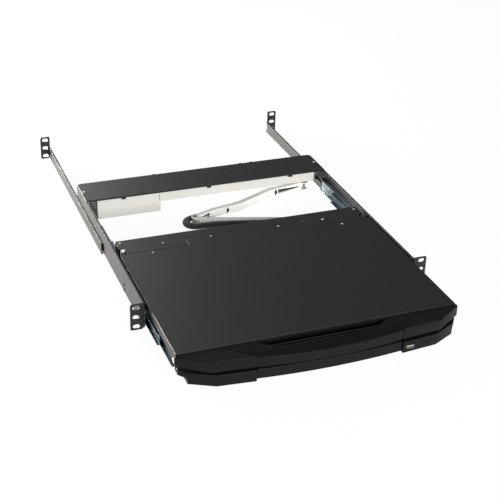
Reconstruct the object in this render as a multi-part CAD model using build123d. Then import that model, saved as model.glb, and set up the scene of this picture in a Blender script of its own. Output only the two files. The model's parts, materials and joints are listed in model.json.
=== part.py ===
"""Rack-mounted console drawer: a shallow sliding tray with a keyboard under a hinged display lid.

Units are millimetres, +Z is up, +Y runs to the back of the rack and +X to the right of the user.
The origin is the centre of the front ears' hole pattern, on the face that meets the rack posts.
The drawer is modelled part way out, with its lid closed.
"""
from build123d import *
import math
import os

# Rack interface
HOLE_COLUMN_SPACING = 465.1
HOLE_PITCH = 15.875
HOLES_PER_EAR = 3
EAR_HOLE_MARGIN = 8.75
EAR_HEIGHT = 43.6
EAR_THICKNESS = 2.0
EAR_CORNER_RADIUS = 2.2
EAR_NOTCH = 4.0
EAR_SLOT_LENGTH = 10.6
EAR_SLOT_WIDTH = 6.9

# Main rails
RAIL_TO_HOLES = 11.15
RAIL_SHEET = 1.5
RAIL_TOP_Z = 19.7
RAIL_BOTTOM_Z = -19.8
RAIL_FLANGE = 3.0
RAIL_REAR_Y = 421.5
RAIL_ADJUST_SLOT_LENGTH = 62.0
RAIL_ADJUST_SLOT_WIDTH = 5.4
RAIL_ADJUST_SLOT_REAR_MARGIN = 9.0

# Rear brackets
BRACKET_STANDS_OUT = 3.6
BRACKET_SHEET = 1.5
BRACKET_HEIGHT = 20.0
BRACKET_FRONT_Y = 237.0
BRACKET_EAR_Y = 641.3
STUD_DIAMETER = 5.0
STUD_NUT_DIAMETER = 8.6
STUD_NUT_THICKNESS = 3.6
STUD_LENGTH = 8.4

# Ball-bearing slides, three members on each side
SLIDE_LENGTH = 350.0
SLIDE_FRONT_Y = 1.0
SLIDE_HEIGHT = 21.8
SLIDE_SHEET = 1.2
SLIDE_WIDTH = 12.9
SLIDE_MEMBER_GAP = 0.9
SLIDE_WEB_RIB_DEPTH = 0.5
SLIDE_WEB_RIB_HEIGHT = 7.0
SLIDE_END_ROUND = 4.0
SLIDE_HOLE_DIAMETER = 4.6
SLIDE_HOLE_COUNT = 5
DRAWER_OUT = 118.0

# Clearances
RUNNING_GAP = 0.3
PIN_GAP = 0.05
OVERRUN = 2.0

# Drawer base
BASE_SHEET = 1.2
BASE_FLOOR_Z = -20.6
BASE_FRONT_Y = -117.5
BASE_REAR_Y = 198.5
BASE_WALL_TOP_Z = 3.6
DRAWER_TOP_Z = 18.9
STRIP_INSET = 4.0
STRIP_DEPTH = 44.5
STRIP_CORNER_RADIUS = 3.0
RECESS_WIDTH = 8.0
RECESS_DEPTH = 17.8

# Lid
LID_INSET = 5.9
LID_FRONT_Y = -139.0
LID_BOTTOM_Z = 5.2
LID_SHEET = 1.2
LID_REAR_GAP = 1.2
TAB_SPAN = 204.0
TAB_LENGTH = 25.1
TAB_GAP = 1.2
LID_EDGE_RADIUS = 0.8
HINGE_Y = 165.0
HINGE_Z = 14.5
HINGE_PIN_DIAMETER = 5.0
HINGE_KNUCKLE_DIAMETER = 8.4
HINGE_KNUCKLE_WIDTH = 3.6
HINGE_CHEEK_WIDTH = 1.5
HINGE_CAP_DIAMETER = 6.0
HINGE_CAP_THICKNESS = 1.5

# Display
SCREEN_SIDE_BORDER = 24.0
SCREEN_DEPTH = 216.0
SCREEN_CENTRE_Y = 14.0
SCREEN_RECESS = 0.6
SCREEN_LAP = 3.0
FRAME_THICKNESS = 2.4
PANEL_THICKNESS = 6.0
OSD_BUTTON_WIDTH = 8.0
OSD_BUTTON_DEPTH = 4.0
OSD_BUTTON_PITCH = 13.0
OSD_BUTTON_COUNT = 4
OSD_BUTTON_STANDS = 0.5
OSD_BUTTON_BODY = 3.4
OSD_ROW_FROM_REAR = 12.0
OSD_ROW_X = 110.0

# Front bezels
BEZEL_OVERHANG = 2.0
BEZEL_CORNER_Y = -143.0
BEZEL_CHAMFER_WIDTH = 43.5
BEZEL_CHAMFER_Y = -171.5
BEZEL_SEAM_X = 111.0
BEZEL_SEAM_Y = -177.0
BEZEL_NOSE_Y = -186.0
BEZEL_SEAM_REAR_X = 152.0
BEZEL_SEAM_GAP = 0.5
BEZEL_TOP_Z = 17.7
BEZEL_NOSE_TOP_Z = 14.6
BEZEL_SLOPE_START_Y = -166.0
BEZEL_BOTTOM_Z = 0.2
BEZEL_TOP_CHAMFER = 1.2
BEZEL_GROOVE = 3.6
LOWER_BEZEL_BOTTOM_Z = -21.6
LOWER_NOSE_BOTTOM_Z = -19.2
LOWER_BEZEL_ADVANCE = 2.5
LOWER_BEZEL_INSET = 3.0
LOWER_BEZEL_CORNER_Y = -156.0
LOWER_BEZEL_CHAMFER_WIDTH = 36.0
LOWER_NOSE_SETBACK = 3.0
HANDLE_SLOT_REAR_Y = -141.0
HANDLE_SLOT_DEPTHS = (14.5, 4.0, 2.6)
HANDLE_SLOT_HALF_WIDTHS = (102.0, 84.0, 46.0)
HANDLE_SLOT_TAPERS = (17.0, 8.0, 4.0)
HANDLE_RIB = 2.6
HANDLE_SLOT_BOTTOM_Z = 4.0
WING_INSET = 1.5
WING_REAR_Y = -129.5
WING_BOTTOM_Z = -13.0
USB_X = 123.5
USB_Z = -13.2
USB_WIDTH = 12.2
USB_HEIGHT = 4.6
USB_DEPTH = 13.0
USB_WALL = 0.5
USB_TONGUE = 1.7
RESET_HOLE_X = 153.0
RESET_HOLE_DIAMETER = 2.4
RESET_HOLE_DEPTH = 6.0

# Keyboard and touchpad
DECK_TOP_Z = -0.7
DECK_SHEET = 1.5
KEY_PITCH = 19.05
KEY_GAP = 1.6
KEY_TOP_Z = 3.6
KEY_PLATE_SHEET = 1.5
KEY_TAPER = 1.1
KEY_COLUMNS = 15
KEY_ROWS = 6
KEY_BAY_REAR_Y = 142.0
KEY_TRAVEL = 1.6
KEY_STEM_DIAMETER = 4.0
SPACE_BAR_COLUMNS = 6
SPACE_BAR_FIRST_COLUMN = 4
NUMPAD_COLUMNS = 4
NUMPAD_GAP = 8.0
TOUCHPAD_WIDTH = 82.0
TOUCHPAD_DEPTH = 54.0
TOUCHPAD_CENTRE_Y = -56.0
TOUCHPAD_STANDS = 0.3
PAD_BUTTON_DEPTH = 13.0
PAD_BUTTON_GAP = 1.2
PAD_BUTTON_HEIGHT = 3.2
PAD_BUTTON_STANDS = 1.4
TRAY_DEPTH = 2.8
TRAY_FLOOR = 1.0

# Rear housing
COVER_SHEET = 1.2
COVER_FRONT_Y = 352.0
COVER_CORNER_RADIUS = 7.0
COVER_LIP = 3.6
COVER_TAB_WIDTH = 8.0
COVER_TAB_DROP = 3.2
COVER_TAB_SPREAD = 155.0
COVER_REAR_TAB_XS = (-82.0, 83.0, 104.0)
COVER_REAR_TAB_WIDTH = 6.0
COVER_REAR_TAB_DEPTH = 1.8
HOUSING_FRONT_Y = 356.0
HOUSING_LEFT_INSET = 20.4
HOUSING_RIGHT_INSET = 18.4
HOUSING_STEP_TO_CABLE = 20.0
HOUSING_LOW_Z = -19.4
HOUSING_STEP_Z = -1.0
HOUSING_SHEET = 1.2
INLET_WIDTH = 28.0
INLET_HEIGHT = 20.5
INLET_DEPTH = 22.0
INLET_FLANGE = 1.6
INLET_FLANGE_MARGIN = 2.2
INLET_WELL_DEPTH = 15.0
INLET_WELL_WALL = 2.4
INLET_PIN_SPREAD = 7.0
INLET_PIN_SIZE = 2.0
INLET_FROM_SIDE = 41.0
SWITCH_FROM_INLET = 36.0
SWITCH_WIDTH = 15.0
SWITCH_HEIGHT = 20.0
SWITCH_DEPTH = 14.0
SWITCH_FRAME = 1.6
SWITCH_ROCKER_ANGLE = 9.0
SWITCH_PIVOT_DIAMETER = 2.0
VIDEO_X = 40.0
VIDEO_WIDTH = 30.8
VIDEO_HEIGHT = 12.4
VIDEO_SHELL_WIDTH = 16.3
VIDEO_SHELL_HEIGHT = 8.0
VIDEO_SHELL_REACH = 5.6
VIDEO_TAPER = 1.4
USB_PORT_XS = (85.0, 105.0)
USB_PORT_WIDTH = 8.4
USB_PORT_HEIGHT = 7.8
USB_PORT_DEPTH = 14.0
PORT_Z = 9.6
VENT_COUNT = 16
VENT_WIDTH = 2.4
VENT_HEIGHT = 9.0
VENT_PITCH = 5.0
VENT_X = -62.0

# Cable arm
ARM_PIVOT_INSET = 35.4
ARM_REAR_PIVOT_Y = 360.0
ARM_FRONT_PIVOT_Y = 214.0
ARM_LINK_LENGTH = 245.0
ARM_TOP_Z = -3.4
ARM_HEIGHT = 13.6
ARM_SHEET = 1.2
ARM_FLANGE = 9.5
ARM_FRONT_FLANGE = 10.5
ARM_END_RADIUS = 6.5
ARM_PIN_DIAMETER = 4.0
ARM_PIN_HEAD_DIAMETER = 7.0
ARM_PIN_HEAD_THICKNESS = 0.9
ARM_BOSS_DIAMETER = 9.0
ARM_SLOT_LENGTH = 18.0
ARM_SLOT_SHIFT = 4.3
ARM_TONGUE_SHEET = 2.0
ARM_TONGUE_WIDTH = 16.0
ARM_TONGUE_END = 2.7
ARM_ELBOW_CLEARANCE = 8.5
ARM_TONGUE_CLEARANCE = 13.5

# Shares along each arm link from the elbow: place, how far its web stands off the pivot line, flange depth
REAR_LINK_SHARES = (
    (0.0, 0.0, 0.68), (0.18, 0.08, 0.9), (0.39, -0.50, 1.0), (0.60, 0.36, 1.0), (0.71, 0.80, 1.0),
    (0.88, 0.24, 0.9), (1.0, 0.0, 0.68),
)
FRONT_LINK_SHARES = ((0.0, 0.0, 0.62), (0.08, 0.0, 1.0), (0.92, 0.0, 1.0), (1.0, 0.0, 0.62))
ARM_WINDOW_SHARES = ((0.96, 0.77), (0.045, 0.13))
ARM_WINDOW_NARROW_SHARE = 0.12
ARM_WINDOW_WIDE_SHARE = 0.80

# Cable
CABLE_DIAMETER = 9.0
CABLE_LOOP_RADIUS = 18.0
CABLE_LOOP_REACH = 20.6
CABLE_LOOP_DROP = 32.5
CABLE_BEND_RADIUS = 14.0
CABLE_TAIL_RADIUS = 9.0
CABLE_TAIL_RUN = 14.0
CABLE_TAIL_SIDE = 21.0
CABLE_ENTRY = 4.0
CABLE_CLIP_WIDTH = 2.4
CABLE_CLIP_SHEET = 0.6
CABLE_TIE_HEAD = 4.4
REAR_CABLE_SHARES = (0.93, 0.80, 0.71, 0.60, 0.39, 0.18)
REAR_CLIP_SHARES = (0.748, 0.28)
FRONT_CLIP_SHARES = (0.34, 0.62)
CABLE_EXIT_SHARE = 0.71
GROMMET_DIAMETER = 13.0
GROMMET_RIM = 1.0

# Release catches
CATCH_LENGTH = 6.5
CATCH_HEIGHT = 7.0
CATCH_REACH = 5.2
CATCH_Z = -3.0
CATCH_TONGUE = 11.0

# Worked-out places
half_hole_columns = HOLE_COLUMN_SPACING / 2
half_ears = half_hole_columns + EAR_HOLE_MARGIN
half_rail = half_hole_columns - RAIL_TO_HOLES
half_bracket = half_rail + BRACKET_STANDS_OUT
half_lid = half_rail - LID_INSET
half_strip = half_lid - STRIP_INSET
half_screen = half_lid - SCREEN_SIDE_BORDER
half_bezel = half_lid + BEZEL_OVERHANG
half_wing = half_lid - WING_INSET
web_inner_x = half_rail - RAIL_SHEET
slide_inner_x = web_inner_x - SLIDE_WIDTH
half_lower_bezel = slide_inner_x - LOWER_BEZEL_INSET
bezel_chamfer_x = half_bezel - BEZEL_CHAMFER_WIDTH
lower_bezel_chamfer_x = half_lower_bezel - LOWER_BEZEL_CHAMFER_WIDTH
slide_bottom_z = RAIL_BOTTOM_Z + RAIL_SHEET
slide_top_z = slide_bottom_z + SLIDE_HEIGHT
slide_centre_z = (slide_bottom_z + slide_top_z) / 2
bracket_bottom_z = RAIL_BOTTOM_Z - RUNNING_GAP - BRACKET_SHEET
bracket_top_z = bracket_bottom_z + BRACKET_HEIGHT
strip_front_y = BASE_REAR_Y - STRIP_DEPTH
lid_rear_y = strip_front_y - LID_REAR_GAP
base_floor_top_z = BASE_FLOOR_Z + BASE_SHEET
panel_front_y = RAIL_REAR_Y - RAIL_SHEET
arm_bottom_z = ARM_TOP_Z - ARM_HEIGHT
arm_middle_z = ARM_TOP_Z - ARM_HEIGHT / 2
arm_half_spread = (ARM_REAR_PIVOT_Y - ARM_FRONT_PIVOT_Y) / 2
arm_pivot_x = half_rail - ARM_PIVOT_INSET
elbow_x = arm_pivot_x - math.sqrt(ARM_LINK_LENGTH ** 2 - arm_half_spread ** 2)
elbow_y = ARM_REAR_PIVOT_Y - arm_half_spread
arm_angle = math.degrees(math.asin(arm_half_spread / ARM_LINK_LENGTH))
cable_loop_left_x = elbow_x - CABLE_LOOP_REACH
cable_loop_front_y = elbow_y - CABLE_LOOP_DROP
housing_left_x = HOUSING_LEFT_INSET - half_rail
housing_right_x = half_rail - HOUSING_RIGHT_INSET
housing_step_x = cable_loop_left_x - HOUSING_STEP_TO_CABLE
inlet_x = housing_left_x + INLET_FROM_SIDE
switch_x = inlet_x + SWITCH_FROM_INLET
key_bay_width = (KEY_COLUMNS + NUMPAD_COLUMNS) * KEY_PITCH + NUMPAD_GAP + KEY_GAP
key_bay_depth = KEY_ROWS * KEY_PITCH + KEY_GAP
key_bay_left_x = -key_bay_width / 2
SIDES = (("left", -1), ("right", 1))


def block(x_range, y_range, z_range):
    """A box between two corners; each range is a pair of coordinates in any order."""
    lows = [min(pair) for pair in (x_range, y_range, z_range)]
    highs = [max(pair) for pair in (x_range, y_range, z_range)]
    size = [high - low for low, high in zip(lows, highs)]
    middle = [(high + low) / 2 for low, high in zip(lows, highs)]
    return Pos(*middle) * Box(*size)


def plate(points, z_low, z_high):
    """A polygon in plan, extruded from z_low to z_high."""
    face = make_face(Polyline(*points, close=True))
    return Pos(0, 0, z_low) * extrude(face, amount=z_high - z_low, dir=(0, 0, 1))


def bar_along_y(points, y_low, y_high):
    """A polygon of (x, z) points, extruded from y_low to y_high."""
    face = make_face(Polyline(*[(x, 0, z) for x, z in points], close=True))
    return Pos(0, y_low, 0) * extrude(face, amount=y_high - y_low, dir=(0, 1, 0))


def bar_along_x(points, x_low, x_high):
    """A polygon of (y, z) points, extruded from x_low to x_high."""
    face = make_face(Polyline(*[(0, y, z) for y, z in points], close=True))
    return Pos(x_low, 0, 0) * extrude(face, amount=x_high - x_low, dir=(1, 0, 0))


def rod(centre, radius, length, axis):
    """A cylinder that starts at centre and runs along axis, which is x, y or z."""
    turn = {"x": Rot(0, 90, 0), "y": Rot(-90, 0, 0), "z": Rot(0, 0, 0)}[axis]
    start = Cylinder(radius, length, align=(Align.CENTER, Align.CENTER, Align.MIN))
    return Pos(*centre) * turn * start


def mirrored(shape, side):
    """The shape as built on the right, or its mirror image on the left."""
    return shape if side > 0 else mirror(shape, about=Plane.YZ)


def together(solids):
    """A group of separate solids for one node."""
    found = []
    for item in solids:
        found.extend(item.solids())
    return Compound(children=found)


def save(name, shape):
    """Write one piece to its own file."""
    export_step(shape, f"parts/{name}.step")


def ear_slots(y_low, y_high):
    """Cutters for the round-ended mounting slots of the right ear."""
    cutters = []
    for row in range(HOLES_PER_EAR):
        z = (row - (HOLES_PER_EAR - 1) / 2) * HOLE_PITCH
        slot = SlotOverall(EAR_SLOT_LENGTH, EAR_SLOT_WIDTH)
        solid = extrude(Plane.XZ * slot, amount=(y_high - y_low) + OVERRUN * 2, dir=(0, 1, 0))
        cutters.append(Pos(half_hole_columns, y_low - OVERRUN, z) * solid)
    return cutters


def ear_plate(inner_x, y_low, y_high):
    """The right mounting ear, with rounded outer corners and a clipped inner lower corner."""
    ear = block((inner_x, half_ears), (y_low, y_high), (-EAR_HEIGHT / 2, EAR_HEIGHT / 2))
    corners = ear.edges().filter_by(Axis.Y).group_by(Axis.X)[-1]
    ear = fillet(corners, EAR_CORNER_RADIUS)
    low_z = -EAR_HEIGHT / 2
    clip = bar_along_y([(inner_x, low_z), (inner_x + EAR_NOTCH, low_z), (inner_x, low_z + EAR_NOTCH)],
                       y_low - OVERRUN, y_high + OVERRUN)
    ear -= clip
    for cutter in ear_slots(y_low, y_high):
        ear -= cutter
    return ear


def main_rail():
    """Right rail: a C section with its ear turned outwards at the front."""
    inner = half_rail - RAIL_FLANGE
    web = block((web_inner_x, half_rail), (-EAR_THICKNESS, RAIL_REAR_Y), (RAIL_BOTTOM_Z, RAIL_TOP_Z))
    top = block((inner, half_rail), (0, RAIL_REAR_Y), (RAIL_TOP_Z - RAIL_SHEET, RAIL_TOP_Z))
    bottom = block((inner, half_rail), (0, RAIL_REAR_Y), (RAIL_BOTTOM_Z, RAIL_BOTTOM_Z + RAIL_SHEET))
    rail = web + top + bottom + ear_plate(web_inner_x, -EAR_THICKNESS, 0)
    slot = Rot(0, 90, 0) * Rot(0, 0, 90) * SlotOverall(RAIL_ADJUST_SLOT_LENGTH, RAIL_ADJUST_SLOT_WIDTH)
    cutter = extrude(slot, amount=RAIL_SHEET + OVERRUN * 2, dir=(1, 0, 0))
    rail -= Pos(web_inner_x - OVERRUN, adjust_slot_centre_y(), slide_centre_z) * cutter
    return rail


def adjust_slot_centre_y():
    """Middle of the slot that the bracket's stud rides in."""
    return RAIL_REAR_Y - RAIL_ADJUST_SLOT_REAR_MARGIN - RAIL_ADJUST_SLOT_LENGTH / 2


def rear_bracket():
    """Right rear bracket: a shallow C section that rides on the outside of the rail."""
    outer = half_bracket
    web_inside = outer - BRACKET_SHEET
    reach = half_rail + RUNNING_GAP
    points = [
        (outer, bracket_bottom_z), (outer, bracket_top_z), (reach, bracket_top_z),
        (reach, bracket_top_z - BRACKET_SHEET), (web_inside, bracket_top_z - BRACKET_SHEET),
        (web_inside, bracket_bottom_z + BRACKET_SHEET), (reach, bracket_bottom_z + BRACKET_SHEET),
        (reach, bracket_bottom_z),
    ]
    channel = bar_along_y(points, BRACKET_FRONT_Y, BRACKET_EAR_Y + EAR_THICKNESS)
    ear = ear_plate(web_inside, BRACKET_EAR_Y, BRACKET_EAR_Y + EAR_THICKNESS)
    return channel + ear


def bracket_stud():
    """Stud of the right bracket, through the rail's slot, with its flanged nut inside the rail."""
    outer = half_bracket - BRACKET_SHEET
    y = adjust_slot_centre_y()
    shank = rod((outer - STUD_LENGTH, y, slide_centre_z), STUD_DIAMETER / 2, STUD_LENGTH, "x")
    nut_x = web_inner_x - RUNNING_GAP - STUD_NUT_THICKNESS
    nut = extrude(Plane.YZ * RegularPolygon(STUD_NUT_DIAMETER / 2, 6), amount=STUD_NUT_THICKNESS)
    return shank + Pos(nut_x, y, slide_centre_z) * nut


def slide_end_cuts(shape, y_low, y_high, x_low, x_high):
    """Round the corners of a slide member's ends, as seen from its side."""
    spots = [(y_low, 1), (y_high, -1)]
    for y, towards in spots:
        for z, rise in ((slide_bottom_z, 1), (slide_top_z, -1)):
            corner = block((x_low - OVERRUN, x_high + OVERRUN), (y, y + towards * SLIDE_END_ROUND),
                           (z, z + rise * SLIDE_END_ROUND))
            keep = rod((x_low - OVERRUN, y + towards * SLIDE_END_ROUND, z + rise * SLIDE_END_ROUND),
                       SLIDE_END_ROUND, x_high - x_low + OVERRUN * 2, "x")
            shape -= corner - keep
    return shape


def slide_holes(shape, x_low, x_high, y_low):
    """Mounting holes along the web of a slide member."""
    pitch = SLIDE_LENGTH / SLIDE_HOLE_COUNT
    for number in range(SLIDE_HOLE_COUNT):
        y = y_low + (number + 1 / 2) * pitch
        start = (x_low - OVERRUN, y, slide_centre_z)
        shape -= rod(start, SLIDE_HOLE_DIAMETER / 2, x_high - x_low + OVERRUN * 2, "x")
    return shape


def ribbed_channel(web_x, away, reach):
    """Section of a slide member: a C whose web carries a shallow stiffening rib."""
    inner_web = web_x + away * SLIDE_SHEET
    tip = web_x + away * reach
    rib_half = SLIDE_WEB_RIB_HEIGHT / 2
    dent = away * SLIDE_WEB_RIB_DEPTH
    slope = SLIDE_WEB_RIB_DEPTH * 2
    inside_top = slide_top_z - SLIDE_SHEET
    inside_bottom = slide_bottom_z + SLIDE_SHEET
    middle = slide_centre_z
    return [
        (tip, slide_top_z), (web_x, slide_top_z), (web_x, middle + rib_half + slope),
        (web_x + dent, middle + rib_half), (web_x + dent, middle - rib_half),
        (web_x, middle - rib_half - slope), (web_x, slide_bottom_z), (tip, slide_bottom_z),
        (tip, inside_bottom), (inner_web, inside_bottom), (inner_web, middle - rib_half - slope),
        (inner_web + dent, middle - rib_half), (inner_web + dent, middle + rib_half),
        (inner_web, middle + rib_half + slope), (inner_web, inside_top), (tip, inside_top),
    ]


def outer_slide():
    """Fixed member of the right slide, screwed to the rail's web."""
    reach = (SLIDE_WIDTH - SLIDE_MEMBER_GAP) / 2
    section = ribbed_channel(web_inner_x, -1, reach)
    member = bar_along_y(section, SLIDE_FRONT_Y, SLIDE_FRONT_Y + SLIDE_LENGTH)
    return slide_holes(member, web_inner_x - SLIDE_SHEET * 2, web_inner_x, SLIDE_FRONT_Y)


def inner_slide():
    """Drawer member of the right slide, with rounded front corners."""
    reach = (SLIDE_WIDTH - SLIDE_MEMBER_GAP) / 2
    start = SLIDE_FRONT_Y - DRAWER_OUT
    section = ribbed_channel(slide_inner_x, 1, reach)
    member = bar_along_y(section, start, start + SLIDE_LENGTH)
    member = slide_end_cuts(member, start, start + SLIDE_LENGTH, slide_inner_x, slide_inner_x + reach)
    tongue = block((slide_inner_x, slide_inner_x + SLIDE_SHEET),
                   (start - CATCH_TONGUE, start + SLIDE_END_ROUND),
                   (CATCH_Z - CATCH_HEIGHT / 2, CATCH_Z + CATCH_HEIGHT / 2))
    return slide_holes(member, slide_inner_x, slide_inner_x + SLIDE_SHEET * 2, start) + tongue


def middle_slide():
    """Middle member of the right slide: an H section that runs inside both others."""
    start = SLIDE_FRONT_Y - DRAWER_OUT / 2
    web_x = (web_inner_x + slide_inner_x) / 2
    inside = SLIDE_SHEET + SLIDE_WEB_RIB_DEPTH + RUNNING_GAP
    low_x, high_x = slide_inner_x + inside, web_inner_x - inside
    top = slide_top_z - SLIDE_SHEET - RUNNING_GAP
    bottom = slide_bottom_z + SLIDE_SHEET + RUNNING_GAP
    run = (start, start + SLIDE_LENGTH)
    web = block((web_x - SLIDE_SHEET / 2, web_x + SLIDE_SHEET / 2), run, (bottom, top))
    upper = block((low_x, high_x), run, (top - SLIDE_SHEET, top))
    lower = block((low_x, high_x), run, (bottom, bottom + SLIDE_SHEET))
    return web + upper + lower


def release_catch():
    """Thumb catch in front of the right slide, which slides on the inner member's tongue."""
    rear = SLIDE_FRONT_Y - DRAWER_OUT - RUNNING_GAP
    x = slide_inner_x + SLIDE_SHEET + PIN_GAP
    body = block((x, x + CATCH_REACH), (rear - CATCH_LENGTH, rear),
                 (CATCH_Z - CATCH_HEIGHT / 2, CATCH_Z + CATCH_HEIGHT / 2))
    return fillet(body.edges().filter_by(Axis.X), CATCH_HEIGHT / 4)


def base_pan():
    """Tray of the drawer: floor, side walls and front wall."""
    half = slide_inner_x
    depth = (BASE_FRONT_Y, BASE_REAR_Y)
    pan = block((-half, half), depth, (BASE_FLOOR_Z, base_floor_top_z))
    for _, side in SIDES:
        pan += block((side * (half - BASE_SHEET), side * half), depth, (BASE_FLOOR_Z, BASE_WALL_TOP_Z))
    front_top = BEZEL_BOTTOM_Z - BEZEL_GROOVE
    pan += block((-half, half), (BASE_FRONT_Y, BASE_FRONT_Y + BASE_SHEET), (BASE_FLOOR_Z, front_top))
    return pan


def deck_rear_y():
    """Back edge of the keyboard deck, under the back of the notch in the hinge cover."""
    return lid_rear_y + TAB_LENGTH + TAB_GAP + BASE_SHEET


def hinge_cover():
    """Folded strip across the back of the drawer, notched for the lid's rear tab."""
    half = half_strip
    inner = slide_inner_x - BASE_SHEET
    under = DRAWER_TOP_Z - BASE_SHEET
    side_z = slide_top_z + LID_SHEET
    top = block((-half, half), (strip_front_y, BASE_REAR_Y), (under, DRAWER_TOP_Z))
    top = fillet(top.edges().filter_by(Axis.Z).group_by(Axis.Y)[-1], STRIP_CORNER_RADIUS)
    notch_half = TAB_SPAN / 2 + TAB_GAP
    notch_rear = deck_rear_y() - BASE_SHEET
    through = (under - OVERRUN, DRAWER_TOP_Z + OVERRUN)
    top -= block((-notch_half, notch_half), (strip_front_y - OVERRUN, notch_rear), through)
    back = (BASE_REAR_Y - BASE_SHEET, BASE_REAR_Y)
    cover = top + block((-inner, inner), back, (base_floor_top_z, under))
    cover += block((-half + STRIP_CORNER_RADIUS, half - STRIP_CORNER_RADIUS), back, (side_z, under))
    wall = (DECK_TOP_Z, under)
    cover += block((-notch_half, notch_half), (notch_rear, deck_rear_y()), wall)
    recess_x = half - RECESS_WIDTH
    recess_rear = strip_front_y + RECESS_DEPTH
    for _, side in SIDES:
        cover -= block((side * recess_x, side * (half + OVERRUN)), (strip_front_y - OVERRUN, recess_rear),
                       through)
        cover += block((side * notch_half, side * (notch_half + BASE_SHEET)),
                       (strip_front_y, deck_rear_y()), wall)
        cover += block((side * notch_half, side * (recess_x - BASE_SHEET)),
                       (strip_front_y, strip_front_y + BASE_SHEET), wall)
        cover += block((side * (half - BASE_SHEET), side * half),
                       (recess_rear, BASE_REAR_Y - STRIP_CORNER_RADIUS), (side_z, under))
    cable_x, _ = front_tail_points()[-1]
    hole_start = (cable_x, BASE_REAR_Y - BASE_SHEET - OVERRUN, arm_middle_z)
    return cover - rod(hole_start, GROMMET_DIAMETER / 2 - GROMMET_RIM, BASE_SHEET + OVERRUN * 2, "y")


def hinge_cheek():
    """Fixed cheek of the right hinge, standing on the deck's edge, with its pin riveted in."""
    x_high = slide_inner_x - BASE_SHEET
    x_low = x_high - HINGE_CHEEK_WIDTH
    half = HINGE_KNUCKLE_DIAMETER / 2
    cheek = block((x_low, x_high), (HINGE_Y - half, HINGE_Y + half), (DECK_TOP_Z, HINGE_Z))
    cheek += rod((x_low, HINGE_Y, HINGE_Z), half, HINGE_CHEEK_WIDTH, "x")
    pin_end = knuckle_x() + HINGE_KNUCKLE_WIDTH + RUNNING_GAP
    return cheek + rod((x_high, HINGE_Y, HINGE_Z), HINGE_PIN_DIAMETER / 2, pin_end - x_high, "x")


def knuckle_x():
    """Inner face of the right hinge knuckle."""
    return slide_inner_x - BASE_SHEET + RUNNING_GAP


def hinge_cap():
    """Light plastic cap on the outer end of the right hinge pin."""
    x = knuckle_x() + HINGE_KNUCKLE_WIDTH + RUNNING_GAP
    cap = rod((x, HINGE_Y, HINGE_Z), HINGE_CAP_DIAMETER / 2, HINGE_CAP_THICKNESS, "x")
    return chamfer(cap.edges().group_by(Axis.X)[-1], HINGE_CAP_THICKNESS / 3)


def hinge_arm():
    """Lid side of the right hinge: a knuckle on an arm with a foot against the lid's rear wall."""
    x = knuckle_x()
    half = HINGE_KNUCKLE_DIAMETER / 2
    arm = block((x, x + HINGE_KNUCKLE_WIDTH), (lid_rear_y, HINGE_Y), (HINGE_Z - half, HINGE_Z + half))
    arm += rod((x, HINGE_Y, HINGE_Z), half, HINGE_KNUCKLE_WIDTH, "x")
    foot_x = half_lid - LID_SHEET * 2
    arm += block((x, foot_x), (lid_rear_y, lid_rear_y + HINGE_CHEEK_WIDTH),
                 (LID_BOTTOM_Z + LID_SHEET, HINGE_Z + half))
    hole_radius = HINGE_PIN_DIAMETER / 2 + PIN_GAP
    return arm - rod((x - OVERRUN, HINGE_Y, HINGE_Z), hole_radius, HINGE_KNUCKLE_WIDTH + OVERRUN * 2, "x")


def lid_shell():
    """Outer shell of the lid: a shallow folded tray, open below, with the rear tab."""
    half = half_lid
    under = DRAWER_TOP_Z - LID_SHEET
    shell = block((-half, half), (LID_FRONT_Y, lid_rear_y), (LID_BOTTOM_Z, DRAWER_TOP_Z))
    top_edges = shell.faces().sort_by(Axis.Z)[-1].edges().filter_by(Axis.Y)
    shell = fillet(top_edges, LID_EDGE_RADIUS)
    shell -= block((-half + LID_SHEET, half - LID_SHEET), (LID_FRONT_Y + LID_SHEET, lid_rear_y - LID_SHEET),
                   (LID_BOTTOM_Z - OVERRUN, under))
    tab = (lid_rear_y - LID_SHEET, lid_rear_y + TAB_LENGTH)
    return shell + block((-TAB_SPAN / 2, TAB_SPAN / 2), tab, (under, DRAWER_TOP_Z))


def screen_box(grow, z_low, z_high):
    """A block over the screen, grown on each side."""
    half_y = SCREEN_DEPTH / 2 + grow
    return block((-half_screen - grow, half_screen + grow),
                 (SCREEN_CENTRE_Y - half_y, SCREEN_CENTRE_Y + half_y), (z_low, z_high))


def osd_button_centre(number):
    """Place of one of the screen's buttons, in a row by the hinge."""
    x = OSD_ROW_X + (number - (OSD_BUTTON_COUNT - 1) / 2) * OSD_BUTTON_PITCH
    return x, lid_rear_y - LID_SHEET - OSD_ROW_FROM_REAR


def screen_frame():
    """Inner frame of the lid, round the screen, with holes for its buttons."""
    half = half_lid - LID_SHEET
    frame = block((-half, half), (LID_FRONT_Y + LID_SHEET, lid_rear_y - LID_SHEET),
                  (LID_BOTTOM_Z, LID_BOTTOM_Z + FRAME_THICKNESS))
    frame -= screen_box(-SCREEN_LAP, LID_BOTTOM_Z - OVERRUN, LID_BOTTOM_Z + FRAME_THICKNESS + OVERRUN)
    frame -= screen_box(0, LID_BOTTOM_Z + SCREEN_RECESS, LID_BOTTOM_Z + FRAME_THICKNESS + OVERRUN)
    for number in range(OSD_BUTTON_COUNT):
        x, y = osd_button_centre(number)
        half_x = OSD_BUTTON_WIDTH / 2 + RUNNING_GAP
        half_y = OSD_BUTTON_DEPTH / 2 + RUNNING_GAP
        frame -= block((x - half_x, x + half_x), (y - half_y, y + half_y),
                       (LID_BOTTOM_Z - OVERRUN, LID_BOTTOM_Z + FRAME_THICKNESS + OVERRUN))
    return frame


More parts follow.
